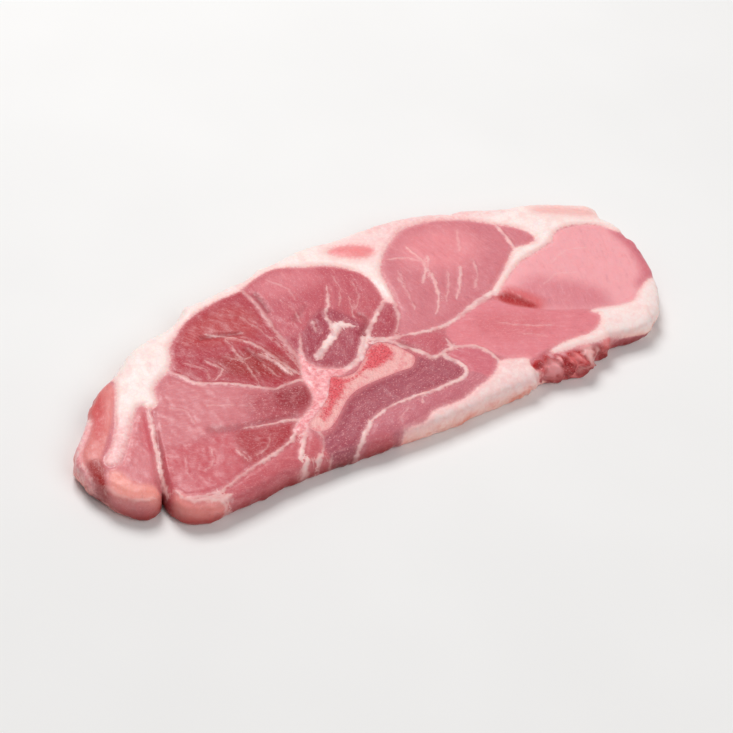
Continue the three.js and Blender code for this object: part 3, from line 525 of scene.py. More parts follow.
def read_bands(spots: np.ndarray, lines: tuple[Vein, ...], far: float = -4.0) -> Band:
    """Read the nearest of several bands at each spot.

    The nearest place on each straight leg of a band's line gives a distance and a half width, and the leg
    with the greatest half width less distance counts. The turn from the leg to the spot gives the side.

    Args:
        spots: places in the plane of the slice.
        lines: the bands' lines and half widths.
        far: the depth of all that lies further off.

    Returns:
        The depth, the signed distance, the half width and the strength at each spot.
    """
    count = len(spots)
    band = Band(np.full(count, far), np.full(count, -far), np.zeros(count), np.zeros(count))
    readings = (band.depth, band.across, band.half, band.strength)
    for vein in lines:
        line = smooth_path(vein.path, 1.4)
        widths = np.linspace(vein.start, vein.end, len(line))
        reach = max(vein.start, vein.end) - far
        near = np.all((spots > line.min(axis=0) - reach) & (spots < line.max(axis=0) + reach), axis=1)
        chosen = spots[near]
        depth, across, half, strength = (reading[near] for reading in readings)
        for start, end, wide, narrow in zip(line[:-1], line[1:], widths[:-1], widths[1:]):
            leg = end - start
            away = chosen - start
            part = np.clip(away @ leg / (leg @ leg), 0.0, 1.0)
            distance = np.linalg.norm(away - part[:, None] * leg, axis=1)
            width = wide + (narrow - wide) * part
            better = width - distance > depth
            turn = np.sign(leg[0] * away[:, 1] - leg[1] * away[:, 0])
            depth[better] = (width - distance)[better]
            across[better] = (turn * distance)[better]
            half[better] = width[better]
            strength[better] = vein.strength
        for reading, found in zip(readings, (depth, across, half, strength)):
            reading[near] = found
    return band


def region_depth(spots: np.ndarray, outline: Outline, far: float = -7.0) -> np.ndarray:
    """Say how deep each spot lies inside a closed outline.

    The depth is the distance to the nearest edge, positive where a ray to the right crosses the outline
    an odd number of times and negative elsewhere.

    Args:
        spots: places in the plane of the slice.
        outline: the points that the closed outline passes through.
        far: the value of all that lies further off.

    Returns:
        One depth for each spot.
    """
    line = smooth_path(outline, 1.6, closed=True)
    depth = np.full(len(spots), far)
    near = np.all((spots > line.min(axis=0) + far) & (spots < line.max(axis=0) - far), axis=1)
    chosen = spots[near]
    distance = np.full(len(chosen), np.inf)
    inside = np.zeros(len(chosen), bool)
    for start, end in zip(line, np.roll(line, -1, axis=0)):
        leg = end - start
        part = np.clip((chosen - start) @ leg / (leg @ leg), 0.0, 1.0)
        away = chosen - start - part[:, None] * leg
        distance = np.minimum(distance, np.einsum("ij,ij->i", away, away))
        crosses = (start[1] > chosen[:, 1]) != (end[1] > chosen[:, 1])
        slope = leg[0] / leg[1] if leg[1] else 0.0
        inside ^= crosses & (chosen[:, 0] < start[0] + (chosen[:, 1] - start[1]) * slope)
    distance = np.sqrt(distance)
    depth[near] = np.maximum(np.where(inside, distance, -distance), far)
    return depth


def soft_step(values: np.ndarray, low: float, high: float) -> np.ndarray:
    """Rise smoothly from 0 at the low value to 1 at the high one."""
    share = np.clip((values - low) / (high - low), 0.0, 1.0)
    return share * share * (3.0 - 2.0 * share)


def lattice_noise(spots: np.ndarray, span: float, seed: int) -> np.ndarray:
    """Give smooth seeded noise from about -1 to 1, with bumps of about the given span.

    Random heights stand on a square lattice, and a soft step blends the four nearest to each spot.

    Args:
        spots: places in the plane of the slice.
        span: the lattice's spacing.
        seed: the seed of the random heights.

    Returns:
        One value for each spot.
    """
    cells = 400
    heights = np.random.default_rng(seed).uniform(-1.0, 1.0, (cells, cells))
    place = spots / span + cells / 2
    corner = np.floor(place).astype(int)
    share = place - corner
    share = share * share * (3.0 - 2.0 * share)
    column, row = corner[:, 0] % cells, corner[:, 1] % cells
    right, above = (column + 1) % cells, (row + 1) % cells
    low = heights[column, row] * (1 - share[:, 0]) + heights[right, row] * share[:, 0]
    high = heights[column, above] * (1 - share[:, 0]) + heights[right, above] * share[:, 0]
    return low * (1 - share[:, 1]) + high * share[:, 1]


def layered_noise(spots: np.ndarray, layers: Layers) -> np.ndarray:
    """Add up layers of seeded noise, each with its rise, its span and its seed."""
    return sum(rise * lattice_noise(spots, span, seed) for rise, span, seed in layers)


@dataclass
class RingShell:
    """A closed flat body whose surface is a grid: rings run round it, and columns run from face to face.

    The edge is parted at its two furthest points along X. The spine is the middle line between the two
    parts, drawn in towards the centre. A column leaves the spine, crosses the upper face to the edge,
    goes down the side and comes back under the lower face.

    Attributes:
        outline: the edge's points.
        columns: how many columns run round the edge.
        upper: how many rings the upper face has.
        side: how many rings the side has.
        lower: how many rings the lower face has.
        rim_round: how far the side's round reaches in.
        squareness: under 1 the side bulges less than a half round.
        spine_reach: the spine's length as a share of the body's.
    """

    outline: Outline
    columns: int
    upper: int
    side: int
    lower: int
    rim_round: float
    squareness: float = 0.62
    spine_reach: float = 0.86

    def edge_and_spine(self) -> tuple[np.ndarray, np.ndarray]:
        """Place the edge and, for each of its points, a point of the spine.

        Returns:
            The edge's points, and the spine's point for each of them.
        """
        ring = smooth_path(self.outline, 0.5, closed=True)
        ring = np.roll(ring, -int(np.argmin(ring[:, 0])), axis=0)
        turn = int(np.argmax(ring[:, 0]))
        half = self.columns // 2
        parts = []
        for part in (ring[:turn + 1], np.vstack([ring[turn:], ring[:1]])):
            along = np.concatenate([[0.0], np.cumsum(np.linalg.norm(np.diff(part, axis=0), axis=1))])
            even = np.linspace(0.0, along[-1], half + 1)
            parts.append(np.stack([np.interp(even, along, part[:, axis]) for axis in (0, 1)], axis=1))
        first, second = parts
        middle = (first + second[::-1]) / 2
        width = max(half // 14, 3)
        padded = np.pad(middle, ((width, width), (0, 0)), mode="edge")
        kernel = np.ones(2 * width + 1) / (2 * width + 1)
        middle = np.stack([np.convolve(padded[:, axis], kernel, mode="valid") for axis in (0, 1)], axis=1)
        centre = middle.mean(axis=0)
        middle = centre + (middle - centre) * self.spine_reach
        edge = np.vstack([first[:-1], second[:-1]])
        spine = np.vstack([middle[:-1], middle[::-1][:-1]])
        return edge, spine

    def rings(self, edge: np.ndarray, spine: np.ndarray) -> tuple[np.ndarray, np.ndarray, np.ndarray]:
        """Lay out all rings in the plane.

        Args:
            edge: the edge's points.
            spine: the spine's point for each of them.

        Returns:
            The rings' places, each ring's height as a share from -1, the lower face, to 1, the upper
            one, and how far each ring is on its way down the side, from 0 to 1.
        """
        reach = np.linalg.norm(spine - edge, axis=1, keepdims=True)
        inward = (spine - edge) / reach
        rim = edge + inward * self.rim_round
        places, heights, sides = [], [], []
        for share in np.linspace(0.0, 1.0, self.upper) ** 0.9:
            places.append(spine + (rim - spine) * share)
            heights.append(1.0)
            sides.append(0.0)
        for angle in np.linspace(np.pi / 2, -np.pi / 2, self.side + 2)[1:-1]:
            inset = self.rim_round * (1.0 - np.cos(angle) ** self.squareness)
            places.append(edge + inward * inset)
            heights.append(float(np.sin(angle)))
            sides.append(float(np.cos(angle)))
        for share in np.linspace(1.0, 0.0, self.lower) ** 0.9:
            places.append(spine + (rim - spine) * share)
            heights.append(-1.0)
            sides.append(0.0)
        return np.array(places), np.array(heights), np.array(sides)

    def faces(self) -> np.ndarray:
        """Join the rings with four-sided faces, with the spine's two sides made one.

        Returns:
            Four vertex numbers for each face.
        """
        total = self.upper + self.side + self.lower
        index = np.arange(total * self.columns).reshape(total, self.columns)
        column = np.arange(self.columns)
        folded = np.minimum(column, (self.columns - column) % self.columns)
        index[0] = index[0][folded]
        index[-1] = index[-1][folded]
        after = np.roll(index, -1, axis=1)
        return np.stack([index[:-1], index[1:], after[1:], after[:-1]], axis=-1).reshape(-1, 4)


def make_object(name: str, places: np.ndarray, faces: np.ndarray) -> bpy.types.Object:
    """Make a smooth-shaded mesh object from arrays, without the places that no face uses.

    Args:
        name: the object's name.
        places: the vertices, in metres.
        faces: four vertex numbers for each face.

    Returns:
        The object, linked to the scene.
    """
    used, renumbered = np.unique(faces, return_inverse=True)
    mesh = bpy.data.meshes.new(name)
    mesh.from_pydata(places[used].tolist(), [], renumbered.reshape(-1, 4).tolist())
    mesh.shade_smooth()
    thing = bpy.data.objects.new(name, mesh)
    bpy.context.scene.collection.objects.link(thing)
    return thing


def mesh_places(mesh: bpy.types.Mesh) -> np.ndarray:
    """Read a mesh's vertices as an array in millimetres.

    Args:
        mesh: the mesh to read.

    Returns:
        One row for each vertex.
    """
    flat = np.empty(len(mesh.vertices) * 3)
    mesh.vertices.foreach_get("co", flat)
    return flat.reshape(-1, 3) / MM


def store(mesh: bpy.types.Mesh, name: str, values: np.ndarray) -> None:
    """Keep one number, vector or colour for each vertex under a name that the material reads.

    Args:
        mesh: the mesh that keeps them.
        name: the attribute's name.
        values: one row or number for each vertex.
    """
    width = 1 if values.ndim == 1 else values.shape[1]
    kind, key = {1: ("FLOAT", "value"), 3: ("FLOAT_VECTOR", "vector"), 4: ("FLOAT_COLOR", "color")}[width]
    layer = mesh.attributes.new(name, kind, "POINT")
    layer.data.foreach_set(key, np.ascontiguousarray(values, dtype=np.float32).ravel())


class Layer(Enum):
    """What the materials read from their meshes."""

    FAT = "fat_depth"
    PINK_FAT = "pink_fat"
    LEAN = "lean_tone"
    VEIN = "vein_depth"
    VEIN_ACROSS = "vein_across"
    VEIN_HALF = "vein_half"
    VEIN_STRENGTH = "vein_strength"
    DARK = "dark_depth"
    DARK_STRENGTH = "dark_strength"
    GRAIN = "grain_place"
    SIDE = "side_share"
    MARROW = "marrow_depth"
    RIM = "rim_depth"


@dataclass
class Anatomy:
    """Where the muscles, the fat and the veins lie, read at any spot of the slice.

    Attributes:
        slant: how far the pattern drifts on its way through the slice, for each millimetre of depth.
        scatter: how far the torn edge's tones are shifted about from height to height.
        softness: how sharply lean inside the fat ends, where 1 is as sharp as a muscle's edge.
        veil: the white that the wet gloss lays over the lean.
        base: the colour of lean that no muscle claims.
        apart: how far the fibres of each muscle lie from those of the next, so that none match.
    """

    slant: float = 0.14
    scatter: float = 4.5
    softness: float = 0.5
    veil: float = 0.045
    base: tuple[float, float, float] = (206, 116, 124)
    apart: float = 23.0

    def drifted(self, places: np.ndarray) -> np.ndarray:
        """Move each spot as the muscles drift with depth, and about where the edge is torn.

        The drift is the depth times slow sine waves of the other coordinate. On the torn edge, noise
        over the way along it and the height shifts the spot sideways, so that no tone runs straight down.

        Args:
            places: places on the surface.

        Returns:
            The spot of the cut face whose tone each place takes.
        """
        depth = (THICKNESS - places[:, 2]) * self.slant
        torn = soft_step(region_depth(places[:, :2], CRAG), -2.0, 1.0)
        shift = self.scatter * torn * lattice_noise(places[:, [0, 2]], 2.3, 41)
        return np.stack([places[:, 0] + depth * np.cos(places[:, 1] / 17.0) + shift,
                         places[:, 1] + depth * np.sin(places[:, 0] / 21.0) + 0.3 * shift], axis=1)

    def fat(self, spots: np.ndarray) -> np.ndarray:
        """Give the depth in fat: the deepest of all fat areas, less the lean inside them.

        Args:
            spots: places in the plane of the slice.

        Returns:
            One depth for each spot, in millimetres.
        """
        areas = (FAT_CAP, FAT_FRONT, FAT_BROAD_END, FAT_WEB, LOBE_SKIN, GRISTLE)
        depth = np.max([region_depth(spots, area) for area in areas], axis=0)
        for lean in LEAN_IN_FAT:
            depth = np.minimum(depth, -self.softness * region_depth(spots, lean, -16.0))
        return depth

    def pink_fat(self, spots: np.ndarray) -> np.ndarray:
        """Give how pink the fat is: the shares of all pink areas added up, from 0, cream, to 1.

        Args:
            spots: places in the plane of the slice.

        Returns:
            One value for each spot.
        """
        webs = np.maximum(region_depth(spots, GRISTLE), region_depth(spots, FAT_WEB))
        skin = region_depth(spots, LOBE_SKIN)
        patch = region_depth(spots, FAT_BROAD_END)
        front = region_depth(spots, FAT_FRONT)
        before_lobe = 1.0 - soft_step(spots[:, 0], -110.0, -98.0)
        in_lobe = before_lobe * (1.0 - soft_step(spots[:, 1], 12.0, 24.0))
        far_corner = soft_step(spots[:, 0], 14.0, 44.0) * soft_step(spots[:, 1], 24.0, 36.0)
        shares = (
            (1.0, soft_step(webs, -1.5, 0.5)),
            (0.35, soft_step(skin, -1.0, 1.0)),
            (0.08, soft_step(patch, -0.5, 1.0)),
            (0.3, soft_step(front, -2.0, 0.0)),
            (0.55, in_lobe),
            (0.4, far_corner),
        )
        return np.clip(sum(share * area for share, area in shares), 0.0, 1.0)

    def lean(self, spots: np.ndarray) -> np.ndarray:
        """Lay the muscles' colours over each other with soft edges, and keep the speckle as alpha.

        Args:
            spots: places in the plane of the slice.

        Returns:
            One colour for each spot.
        """
        tone = np.tile(np.array(tint(*self.base, self.veil)), (len(spots), 1))
        for muscle in MUSCLES:
            share = soft_step(region_depth(spots, muscle.outline), -muscle.blend, muscle.blend)[:, None]
            colour = np.array((*tint(*muscle.colour, self.veil)[:3], muscle.speckle))
            tone = tone * (1 - share) + colour * share
        return tone

    def grain(self, places: np.ndarray, spots: np.ndarray) -> np.ndarray:
        """Turn each spot into its muscle's own axes: along the fibres, across them, and through the slice.

        Args:
            places: places on the surface.
            spots: the spot of the cut face whose tone each place takes.

        Returns:
            One place in those axes for each spot.
        """
        angle = np.zeros(len(spots))
        shift = np.zeros(len(spots))
        for number, muscle in enumerate(MUSCLES):
            inside = region_depth(spots, muscle.outline) > 0
            angle[inside] = np.radians(muscle.grain)
            shift[inside] = number * self.apart
        along = spots[:, 0] * np.cos(angle) + spots[:, 1] * np.sin(angle)
        across = spots[:, 1] * np.cos(angle) - spots[:, 0] * np.sin(angle)
        return np.stack([along, across, places[:, 2] + shift], axis=1)


@dataclass
class Relief:
    """The height of the cut face, in millimetres above the underside.

    Attributes:
        settle: how far the face has sunk below the sawn thickness.
        fat_rise: how far fat stands over the lean.
        fat_groove: the depth of the groove beside fat.
        vein_rise: how far the strongest veins stand over the lean.
        vein_groove: the depth of the grooves beside them.
        split_depth: the depth of the strongest splits.
        torn_lumps: the layers of lumps on the torn edge.
        torn_drop: how far the torn edge has sunk.
        waver: the layers of unevenness all over the face.
        fibres: the layers of finer unevenness of the lean.
        edge_drop: how far the face falls at the edge.
        edge_reach: how far in from the edge the fall begins.
        lap_rise: how far the meat stands over the bone's face where it laps it.
        bone_reach: how far off the bone the meat begins to come to that height.
    """

    settle: float = 0.3
    fat_rise: float = 0.26
    fat_groove: float = 0.36
    vein_rise: float = 0.16
    vein_groove: float = 0.34
    split_depth: float = 0.7
    torn_lumps: Layers = ((0.63, 3.1, 5), (0.99, 1.7, 6))
    torn_drop: float = 0.5
    waver: Layers = ((0.14, 7.0, 1), (0.09, 2.8, 2))
    fibres: Layers = ((0.05, 1.5, 3), (0.04, 1.0, 4))
    edge_drop: float = 1.5
    edge_reach: float = 4.2
    lap_rise: float = 0.06
    bone_reach: float = 3.5

    def forms(self, spots: np.ndarray) -> np.ndarray:
        """Add up slow sine waves and the muscles' bulges, each a bell curve along and across its turn.

        Args:
            spots: places in the plane of the slice.

        Returns:
            What the forms add to the height at each spot.
        """
        height = np.zeros(len(spots))
        for rise, span_x, span_y, start in WAVES:
            height += rise * np.sin(spots[:, 0] / span_x + spots[:, 1] / span_y + start)
        for x, y, half_length, half_width, turn, rise in SWELLS:
            cos, sin = np.cos(np.radians(turn)), np.sin(np.radians(turn))
            along = ((spots[:, 0] - x) * cos + (spots[:, 1] - y) * sin) / half_length
            across = ((spots[:, 1] - y) * cos - (spots[:, 0] - x) * sin) / half_width
            height += rise * np.exp(-(along ** 2 + across ** 2))
        return height

    def seams(self, spots: np.ndarray, fat: np.ndarray) -> np.ndarray:
        """Raise fat and veins, and sink the splits and the grooves beside fat and veins.

        A groove is a bell curve of the depth, about a line just outside the fat or the vein.

        Args:
            spots: places in the plane of the slice.
            fat: the depth in fat at each of them.

        Returns:
            What the seams add to the height at each spot.
        """
        veins = read_bands(spots, VEINS)
        splits = read_bands(spots, DARK_LINES)
        height = self.fat_rise * soft_step(fat, -0.4, 2.2)
        height -= self.fat_groove * np.exp(-((fat + 0.3) / 0.9) ** 2)
        height += self.vein_rise * veins.strength * soft_step(veins.depth, -0.2, 0.7)
        height -= self.vein_groove * veins.strength * np.exp(-((veins.depth + 0.6) / 0.7) ** 2)
        return height - self.split_depth * splits.strength * soft_step(splits.depth, -1.2, 0.5)

    def furrow(self, spots: np.ndarray) -> np.ndarray:
        """Give the depth of the furrow beside the lobe, which grows as the square of the way forward.

        Args:
            spots: places in the plane of the slice.

        Returns:
            One depth for each spot, in millimetres.
        """
        back, notch = FURROW_DEPTH
        forward = 1.0 - soft_step(spots[:, 1], -22.0, 12.0)
        band = read_bands(spots, (FURROW,), -6.0).depth
        return (back + (notch - back) * forward ** 2) * soft_step(band, -2.4, 0.8)

    def height(self, spots: np.ndarray, anatomy: Anatomy) -> np.ndarray:
        """Add up all forms, let the face fall at the edge, and bring it to the bone's face beside the bone.

        Args:
            spots: places in the plane of the slice.
            anatomy: where the fat lies.

        Returns:
            One height for each spot.
        """
        fat = anatomy.fat(spots)
        height = THICKNESS - self.settle + self.forms(spots) + self.seams(spots, fat) - self.furrow(spots)
        torn = soft_step(region_depth(spots, CRAG), -1.0, 2.0)
        height += torn * (layered_noise(spots, self.torn_lumps) - self.torn_drop)
        lean = 1.0 - soft_step(fat, -0.5, 0.8)
        height += layered_noise(spots, self.waver) + lean * layered_noise(spots, self.fibres)
        edge = np.maximum(region_depth(spots, EDGE), 0.0)
        height -= self.edge_drop * np.exp(-(edge / self.edge_reach) ** 2)
        by_bone = soft_step(region_depth(spots, BLADE_BONE), -self.bone_reach, -0.2)
        return height + (BONE_LEVEL + self.lap_rise - height) * by_bone


class Cells(Enum):
    """What a pattern of cells gives: distance from the middle, distance from the wall, or a shade each."""

    MIDDLE = "middle"
    WALL = "wall"
    SHADE = "shade"


class Graph:
    """A short way to write down a material's nodes."""

    def __init__(self, name: str) -> None:
        """Start an empty material with its shader and output.

        Args:
            name: the material's name.
        """
        self.material = bpy.data.materials.new(name)
        self.material.use_nodes = True
        self.tree = self.material.node_tree
        self.tree.nodes.clear()
        self.shader = self.tree.nodes.new("ShaderNodeBsdfPrincipled")
        output = self.tree.nodes.new("ShaderNodeOutputMaterial")
        self.tree.links.new(self.shader.outputs[0], output.inputs["Surface"])

    def put(self, socket: Socket, value: Input) -> None:
        """Link a socket to another one, or set it to a plain value.

        Args:
            socket: the socket to fill.
            value: another node's socket, or a plain value.
        """
        if isinstance(value, Socket):
            self.tree.links.new(value, socket)
        elif value is not None:
            socket.default_value = value

    def read(self, name: str, output: str = "Fac") -> Socket:
        """Read an attribute of the mesh.

        Args:
            name: the attribute's name.
            output: which of the node's outputs to take.

        Returns:
            The output.
        """
        node = self.tree.nodes.new("ShaderNodeAttribute")
        node.attribute_name = name
        return node.outputs[output]

    def sum(self, kind: str, first: Input, second: Input = None, third: Input = None) -> Socket:
        """Work out a sum of one, two or three numbers.

        Args:
            kind: the kind of sum.
            first: the first number.
            second: the second number, if any.
            third: the third number, if any.

        Returns:
            The result.
        """
        node = self.tree.nodes.new("ShaderNodeMath")
        node.operation = kind
        for socket, value in zip(node.inputs, (first, second, third)):
            self.put(socket, value)
        return node.outputs[0]

    def span(self, value: Input, low: float, high: float, start: float = 0.0, end: float = 1.0) -> Socket:
        """Carry a value softly from one range to another.

        Args:
            value: the value.
            low: where its range begins.
            high: where its range ends.
            start: what it becomes at the low end.
            end: what it becomes at the high end.

        Returns:
            The carried value.
        """
        node = self.tree.nodes.new("ShaderNodeMapRange")
        node.interpolation_type = "SMOOTHSTEP"
        keys = ("Value", "From Min", "From Max", "To Min", "To Max")
        for key, number in zip(keys, (value, low, high, start, end)):
            self.put(node.inputs[key], number)
        return node.outputs[0]

    def mix(self, share: Input, first: Input, second: Input, kind: str = "MIX") -> Socket:
        """Pass from the first colour to the second.

        Args:
            share: how much of the second colour shows, from 0 to 1.
            first: the first colour.
            second: the second colour.
            kind: how the two are blended.

        Returns:
            The mixed colour.
        """
        node = self.tree.nodes.new("ShaderNodeMix")
        node.data_type = "RGBA"
        node.blend_type = kind
        self.put(node.inputs[0], share)
        self.put(node.inputs[6], first)
        self.put(node.inputs[7], second)
        return node.outputs[2]

    def stretch(self, place: Input, scale: tuple[float, float, float]) -> Socket:
        """Scale a place along its three axes.

        Args:
            place: the place.
            scale: the factor for each axis.

        Returns:
            The scaled place.
        """
        node = self.tree.nodes.new("ShaderNodeMapping")
        self.put(node.inputs["Vector"], place)
        node.inputs["Scale"].default_value = scale
        return node.outputs[0]

    def noise(self, place: Input, scale: float, detail: float = 3.0, rough: float = 0.55) -> Socket:
        """Read soft noise, from 0 to 1 about 0.5.

        Args:
            place: where it is read.
            scale: how fine it is.
            detail: how many finer layers it has.
            rough: how strong those are.

        Returns:
            The noise.
        """
        node = self.tree.nodes.new("ShaderNodeTexNoise")
        self.put(node.inputs["Vector"], place)
        node.inputs["Scale"].default_value = scale
        node.inputs["Detail"].default_value = detail
        node.inputs["Roughness"].default_value = rough
        return node.outputs["Fac"]

    def about(self, noise: Socket, reach: float, middle: float = 0.0) -> Socket:
        """Carry noise from its range of 0 to 1 to one of the given reach about a middle value."""
        return self.sum("MULTIPLY_ADD", noise, reach, middle - reach / 2)

    def warp(self, place: Input, scale: float, reach: float) -> Socket:
        """Shift a place about by soft noise, up to half the reach each way.

        Args:
            place: the place.
            scale: how fine the noise is.
            reach: how far apart it can move places.

        Returns:
            The shifted place.
        """
        noise = self.tree.nodes.new("ShaderNodeTexNoise")
        self.put(noise.inputs["Vector"], place)
        noise.inputs["Scale"].default_value = scale
        node = self.tree.nodes.new("ShaderNodeVectorMath")
        node.operation = "MULTIPLY_ADD"
        self.put(node.inputs[0], noise.outputs["Color"])
        node.inputs[1].default_value = (reach, reach, reach)
        self.put(node.inputs[2], place)
        return node.outputs[0]

    def cells(self, place: Input, scale: float, kind: Cells) -> Socket:
        """Part space into cells, and read one measure of them.

        Args:
            place: where they are read.
            scale: how fine they are.
            kind: the measure.

        Returns:
            The measure.
        """
        node = self.tree.nodes.new("ShaderNodeTexVoronoi")
        node.feature = "DISTANCE_TO_EDGE" if kind is Cells.WALL else "F1"
        self.put(node.inputs["Vector"], place)
        node.inputs["Scale"].default_value = scale
        return node.outputs["Color" if kind is Cells.SHADE else "Distance"]

    def bump(self, height: Input, distance: float, strength: float = 1.0) -> None:
        """Raise the fine surface by a height, in metres at full height.

        Args:
            height: the height, from 0 to 1.
            distance: how many metres the full height stands for.
            strength: how much of it shows.
        """
        node = self.tree.nodes.new("ShaderNodeBump")
        node.inputs["Strength"].default_value = strength
        node.inputs["Distance"].default_value = distance
        self.put(node.inputs["Height"], height)
        self.put(self.shader.inputs["Normal"], node.outputs[0])

    def object_place(self) -> Socket:
        """Read the place on the object, in millimetres."""
        node = self.tree.nodes.new("ShaderNodeTexCoord")
        return self.stretch(node.outputs["Object"], (1 / MM, 1 / MM, 1 / MM))

    def surface(self, **values: Input) -> None:
        """Set the shader's own sockets by name, with spaces written as underscores."""
        for key, value in values.items():
            self.put(self.shader.inputs[key.replace("_", " ")], value)


@dataclass(frozen=True)
class MeatFinish:
    """Raw lean and fat in one surface: tones of the muscles, fibres, flecks, veins, fat, bloodstains and
    painted shade.

    Attributes:
        name: the material's name.
        cream: the fat's colour deep inside.
        blush: the fat's colour at its edge.
        gristle: the colour of webs and gristle.
        raw: the colour of the reddest spots in them.
        salmon: the colour of raw spots on the fat's side.
        blood_and_shade: the colour of bloodstained lines, and of painted shade in splits and crevices.
        fleck: the colour of fine marbling.
        deepen: what the lean is multiplied by where it is darkest.
        dried_and_shade: what the lean is multiplied by low on the side: partly the drying of the cut edge,
            partly painted shade near the floor.
        fat_low_shade: what the fat is multiplied by low on the side: painted shade, darker and warmer
            towards the floor.
    """

    name: str = "raw_meat"
    cream: Colour = tint(255, 235, 230)
    blush: Colour = tint(252, 208, 203)
    gristle: Colour = tint(250, 172, 177)
    raw: Colour = tint(226, 118, 122)
    salmon: Colour = tint(232, 128, 104)
    blood_and_shade: Colour = tint(128, 28, 36)
    fleck: Colour = tint(248, 180, 182)
    deepen: Colour = (0.70, 0.48, 0.52, 1.0)
    dried_and_shade: Colour = (0.44, 0.03, 0.02, 1.0)
    fat_low_shade: Colour = (0.96, 0.72, 0.62, 1.0)

    def lean(self, graph: Graph, place: Socket, grain: Socket,
             side: Socket) -> Socket:
        """Vary the muscles' tones by clouds, mottling, fibre streaks, bundles of fibres and pale flecks, and
        darken them low on the side, partly with painted shade.

        Args:
            graph: the material's nodes.
            place: the place on the object.
            grain: the place along and across the fibres.
            side: how near the surface is to the slice's edge.

        Returns:
            The colour of the lean.
        """
        bundles = graph.warp(graph.stretch(grain, (0.42, 0.85, 0.85)), 0.9, 1.1)
        # Each pattern and its weight: clouds, mottling, long and short streaks, bundles
        parts = (
            (graph.noise(place, 0.075, 3.0), 0.9),
            (graph.noise(place, 0.36, 4.0, 0.62), 1.0),
            (graph.noise(graph.stretch(grain, (0.13, 0.85, 0.85)), 1.0, 3.0, 0.6), 1.4),
            (graph.noise(graph.stretch(grain, (0.7, 1.9, 1.9)), 1.0, 3.0, 0.65), 0.3),
            (graph.cells(bundles, 0.9, Cells.SHADE), 0.28),
        )
        depth: Input = -0.5 * sum(weight for _, weight in parts)
        for pattern, weight in parts:
            depth = graph.sum("MULTIPLY_ADD", pattern, weight, depth)
        tone = graph.read(Layer.LEAN.value, "Color")
        deep = graph.mix(1.0, tone, self.deepen, "MULTIPLY")
        pale = graph.mix(0.24, tone, self.fleck)
        tone = graph.mix(graph.span(depth, 0.0, 0.95, 0.0, 0.55), tone, deep)
        tone = graph.mix(graph.span(depth, 0.0, -0.5, 0.0, 0.9), tone, pale)
        walls = graph.cells(bundles, 0.9, Cells.WALL)
        tone = graph.mix(graph.span(walls, 0.11, 0.0, 0.0, 0.08), tone, self.fleck)
        speckle = graph.read(Layer.LEAN.value, "Alpha")
        flecks = graph.noise(graph.stretch(grain, (0.8, 1.1, 1.1)), 1.6, 2.0, 0.6)
        flecks = graph.sum("MULTIPLY", graph.span(flecks, 0.55, 0.72, 0.0, 0.5), speckle)
        tone = graph.mix(flecks, tone, self.fleck)
        # Darker and redder low on the side: partly the drying of the cut edge, partly painted shade near the
        # floor
        return graph.mix(side, tone, graph.mix(1.0, tone, self.dried_and_shade, "MULTIPLY"))

    def fat(self, graph: Graph, place: Socket, depth: Socket,
            side: Socket) -> Socket:
        """Pass from pink at the fat's edge to cream inside, with clouds, lobules and raw spots at the side,
        and painted shade low on the side.

        Args:
            graph: the material's nodes.
            place: the place on the object.
            depth: the depth in the fat.
            side: how near the surface is to the slice's edge.

        Returns:
            The colour of the fat.
        """
        clouds = graph.noise(place, 0.2, 4.0)
        lobules = graph.cells(graph.warp(place, 0.5, 1.6), 0.42, Cells.WALL)
        tone = graph.mix(graph.span(depth, -0.2, 3.0), self.blush, self.cream)
        tone = graph.mix(graph.span(clouds, 0.46, 0.70, 0.0, 0.6), tone, self.blush)
        tone = graph.mix(graph.span(lobules, 0.10, 0.0, 0.0, 0.3), tone, self.blush)
        mottle = graph.noise(place, 0.55, 4.0, 0.65)
        pink = graph.mix(graph.span(mottle, 0.42, 0.66, 0.0, 0.75), self.gristle, self.raw)
        pink = graph.mix(graph.span(mottle, 0.5, 0.34, 0.0, 0.7), pink, self.blush)
        tone = graph.mix(graph.read(Layer.PINK_FAT.value), tone, pink)
        spots = graph.span(graph.noise(place, 0.16, 4.0, 0.6), 0.44, 0.62, 0.0, 0.7)
        tone = graph.mix(graph.sum("MULTIPLY", spots, side), tone, self.salmon)
        # Painted shade: the fat's side darker and warmer towards the floor
        return graph.mix(side, tone, graph.mix(1.0, tone, self.fat_low_shade, "MULTIPLY"))

    def veins(self, graph: Graph, place: Socket) -> tuple[Socket, Socket]:
        """Give the veins an uneven course and width.

        Noise shifts the distance to a vein's line, and its half width too. The half width less the
        distance is how deep a spot lies in the vein, held to little more than its true depth.

        Args:
            graph: the material's nodes.
            place: the place on the object.

        Returns:
            The depth in the vein, and how strongly the vein shows, which comes and goes along it.
        """
        depth = graph.read(Layer.VEIN.value)
        wander = graph.about(graph.noise(place, 0.35, 3.0), 2.4)
        across = graph.sum("ABSOLUTE", graph.sum("ADD", graph.read(Layer.VEIN_ACROSS.value), wander))
        width = graph.about(graph.noise(place, 0.4, 2.0, 0.5), 1.3, -0.08)
        width = graph.sum("ADD", width, graph.read(Layer.VEIN_HALF.value))
        thick = graph.sum("SUBTRACT", width, across)
        thick = graph.sum("MINIMUM", thick, graph.sum("ADD", depth, 0.6))
        near = graph.span(depth, -1.9, -0.9)
        strength = graph.sum("MULTIPLY", graph.read(Layer.VEIN_STRENGTH.value), near)
        broken = graph.span(graph.noise(place, 0.15, 2.0), 0.34, 0.56, 0.55, 1.0)
        return thick, graph.sum("MULTIPLY", strength, broken)

